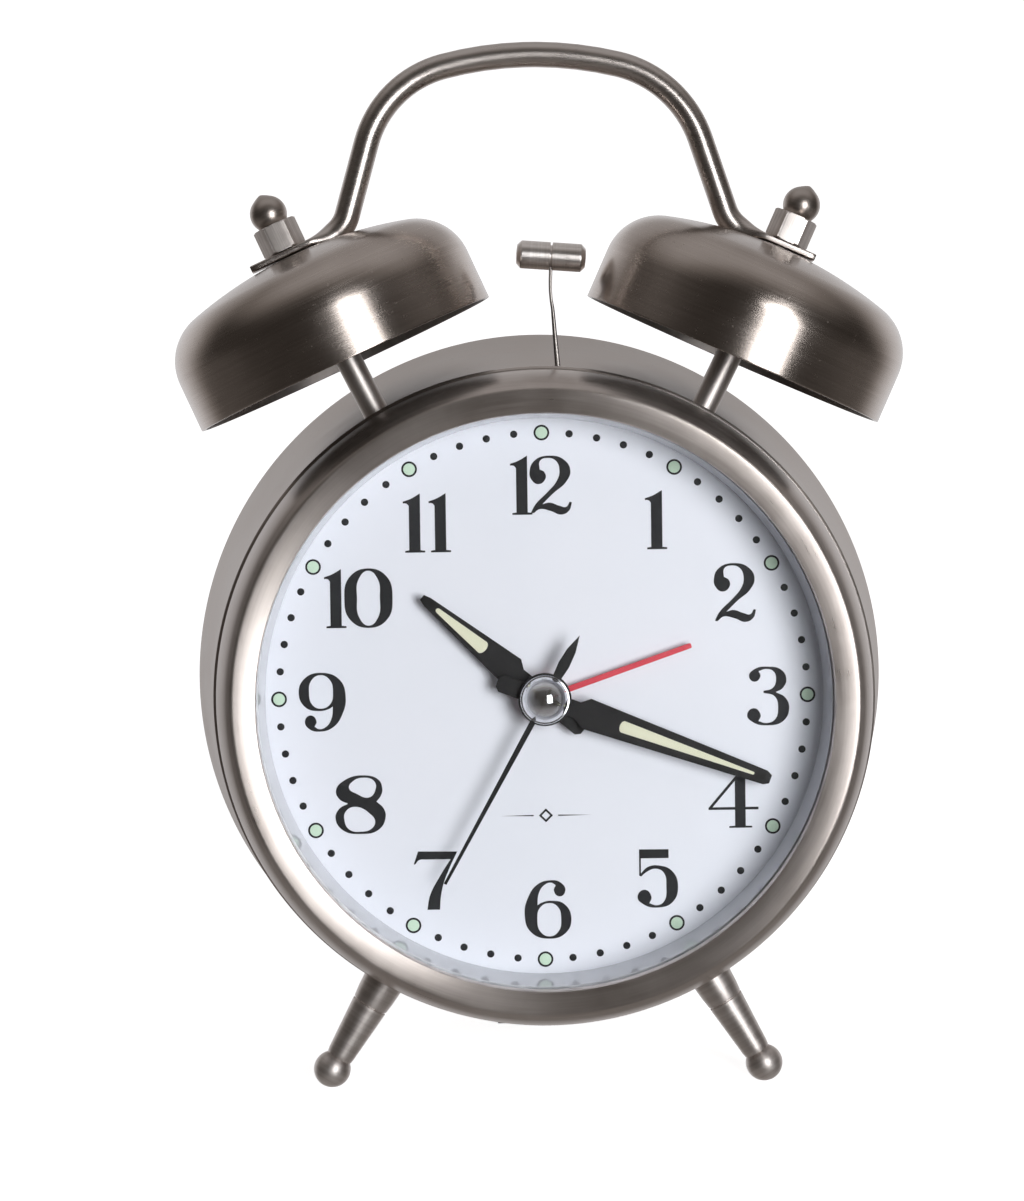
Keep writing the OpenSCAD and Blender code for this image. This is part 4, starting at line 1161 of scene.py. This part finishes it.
def build_stage():
    """A pale floor that curves up into a pale wall all round."""
    bm = bmesh.new()
    segments, flat_r, curve_r, wall_h = 96, 2.6, 1.2, 3.0
    line = [(0.0, 0.0), (1.5, 0.0), (flat_r, 0.0)]
    line += arc((flat_r, curve_r), curve_r, -90, 0, 10)[1:] + [(flat_r + curve_r, wall_h)]
    lathe_into(bm, line[::-1], segments, closed=False)
    bmesh.ops.remove_doubles(bm, verts=bm.verts, dist=1e-5)
    for face in bm.faces:
        face.smooth = True
    mesh = bpy.data.meshes.new("studio_floor")
    bm.to_mesh(mesh)
    bm.free()
    s = Shader("studio_paper")
    s.colour(s.ramp(s.noise(3.0, 2.0), 0.3, 0.7, ((0.86, 0.86, 0.865), (0.88, 0.88, 0.885))))
    s.set(Roughness=0.9, Emission_Color=(1, 1, 1, 1), Emission_Strength=0.85)
    mesh.materials.append(s.material)
    floor = linked("studio_floor", mesh)
    # a hair under the feet
    floor.location.z = -0.0002
    for ray in ("glossy", "transmission", "diffuse", "shadow"):
        setattr(floor, f"visible_{ray}", False)


def toward(azimuth, elevation):
    """Direction away from the clock. Azimuth 0 is in front, positive to the right."""
    flat = cos(elevation)
    return Vector((sin(azimuth) * flat, -cos(azimuth) * flat, sin(elevation)))


def softbox(name, azimuth, elevation, distance, width, height, power, colour=(1, 1, 1)):
    """A rectangular light aimed at the middle of the clock."""
    back = toward(azimuth, elevation)
    light = bpy.data.lights.new(name, "AREA")
    light.shape = "RECTANGLE"
    light.size = width
    light.size_y = height
    light.energy = power
    light.color = colour
    obj = linked(name, light)
    obj.location = Vector((0, 0, 0.085)) + back * distance
    obj.rotation_euler = back.to_track_quat("Z", "Y").to_euler()
    return obj


def build_light():
    """One softbox that the metal mirrors, and lights that only paint and plastic answer to."""
    softbox("key_softbox", 21, 12, 0.95, 0.34, 0.54, 4.2, (0.97, 0.985, 1.0))
    for fill in (
        softbox("key_for_paint", 28, 8, 0.95, 0.34, 0.5, 5.25, (1.0, 0.99, 0.985)),
        softbox("top_fill", 10, 60, 1.2, 1.0, 0.8, 0.6),
        softbox("left_fill", -50, 20, 1.3, 0.9, 0.9, 0.4, (0.93, 0.96, 1.0)),
    ):
        fill.visible_glossy = False
        fill.visible_transmission = False
    build_world()


def build_world():
    """What the metal reflects: a dark room in front, a pale wall behind, dim ceiling and table."""
    world = bpy.data.worlds.new("studio_world")
    bpy.context.scene.world = world
    world.use_nodes = True
    tree = world.node_tree
    split = tree.nodes.new("ShaderNodeSeparateXYZ")
    tree.links.new(tree.nodes.new("ShaderNodeTexCoord").outputs["Generated"], split.inputs[0])

    def band(axis, start, end, level, low=0.0):
        made = tree.nodes.new("ShaderNodeMapRange")
        made.interpolation_type = "SMOOTHSTEP"
        set_inputs(made, From_Min=start, From_Max=end, To_Min=low, To_Max=level)
        tree.links.new(split.outputs[axis], made.inputs["Value"])
        return made.outputs[0]

    def joined(operation, a, b):
        made = tree.nodes.new("ShaderNodeMath")
        made.operation = operation
        tree.links.new(a, made.inputs[0])
        tree.links.new(b, made.inputs[1])
        return made.outputs[0]

    wall = joined("MULTIPLY", band("Y", 0.1, 0.85, 1.0), band("Z", 0.4, 0.0, 0.85, 0.5))
    ceiling = joined("MULTIPLY", band("Y", -0.8, 0.0, 1.0), band("Z", 0.25, 0.95, 0.5))
    table = band("Z", -0.1, -0.8, 0.24)
    light = joined("MAXIMUM", wall, joined("MAXIMUM", ceiling, table))
    ramp = tree.nodes.new("ShaderNodeValToRGB")
    tree.links.new(light, ramp.inputs["Fac"])
    stops = ((0.0, (0.045, 0.04, 0.036)), (0.3, (0.25, 0.232, 0.22)), (1.0, (0.95, 0.96, 0.99)))
    ramp.color_ramp.elements.new(0.5)
    for element, (position, colour) in zip(ramp.color_ramp.elements, stops):
        element.position = position
        element.color = (*colour, 1)
    tree.links.new(ramp.outputs["Color"], tree.nodes["Background"].inputs["Color"])


def build_camera():
    """A long lens a little above the dial's axis, aimed just above the dial's middle."""
    distance, elevation, azimuth, roll = 800.0, 4.0, -0.7, 0.65
    aim = Vector((-5.05, 0, 15.75))
    back = toward(azimuth, elevation)
    data = bpy.data.cameras.new("photo_camera")
    data.sensor_width = 36.0
    data.lens = 147.5
    data.clip_start = 0.01
    data.clip_end = 100
    camera = linked("photo_camera", data)
    look = clock_turn @ -back
    turned = look.to_track_quat("-Z", "Y").to_matrix()
    camera.matrix_world = (
        Matrix.Translation(dial_centre + clock_turn @ ((aim + back * distance) * MM))
        @ (turned @ turn("Z", -roll)).to_4x4()
    )
    bpy.context.scene.camera = camera


build_camera()
dress_cad_nodes()
build_drum()
build_bezel()
build_lens()
build_reflector()
build_dial()
build_hands()
build_hub_cap()
for side, word in ((-1, "left"), (1, "right")):
    build_bell(side, f"bell_{word}")
    build_post(side, f"bell_post_{word}")
    build_nut(side, f"bell_nut_{word}")
    build_finial(side, f"finial_{word}")
    build_foot(side, f"foot_{word}")
build_handle()
build_hammer_head()
build_hammer_arm()
build_hammer_fork()
build_stage()
build_light()
bpy.context.scene.view_settings.view_transform = "Standard"
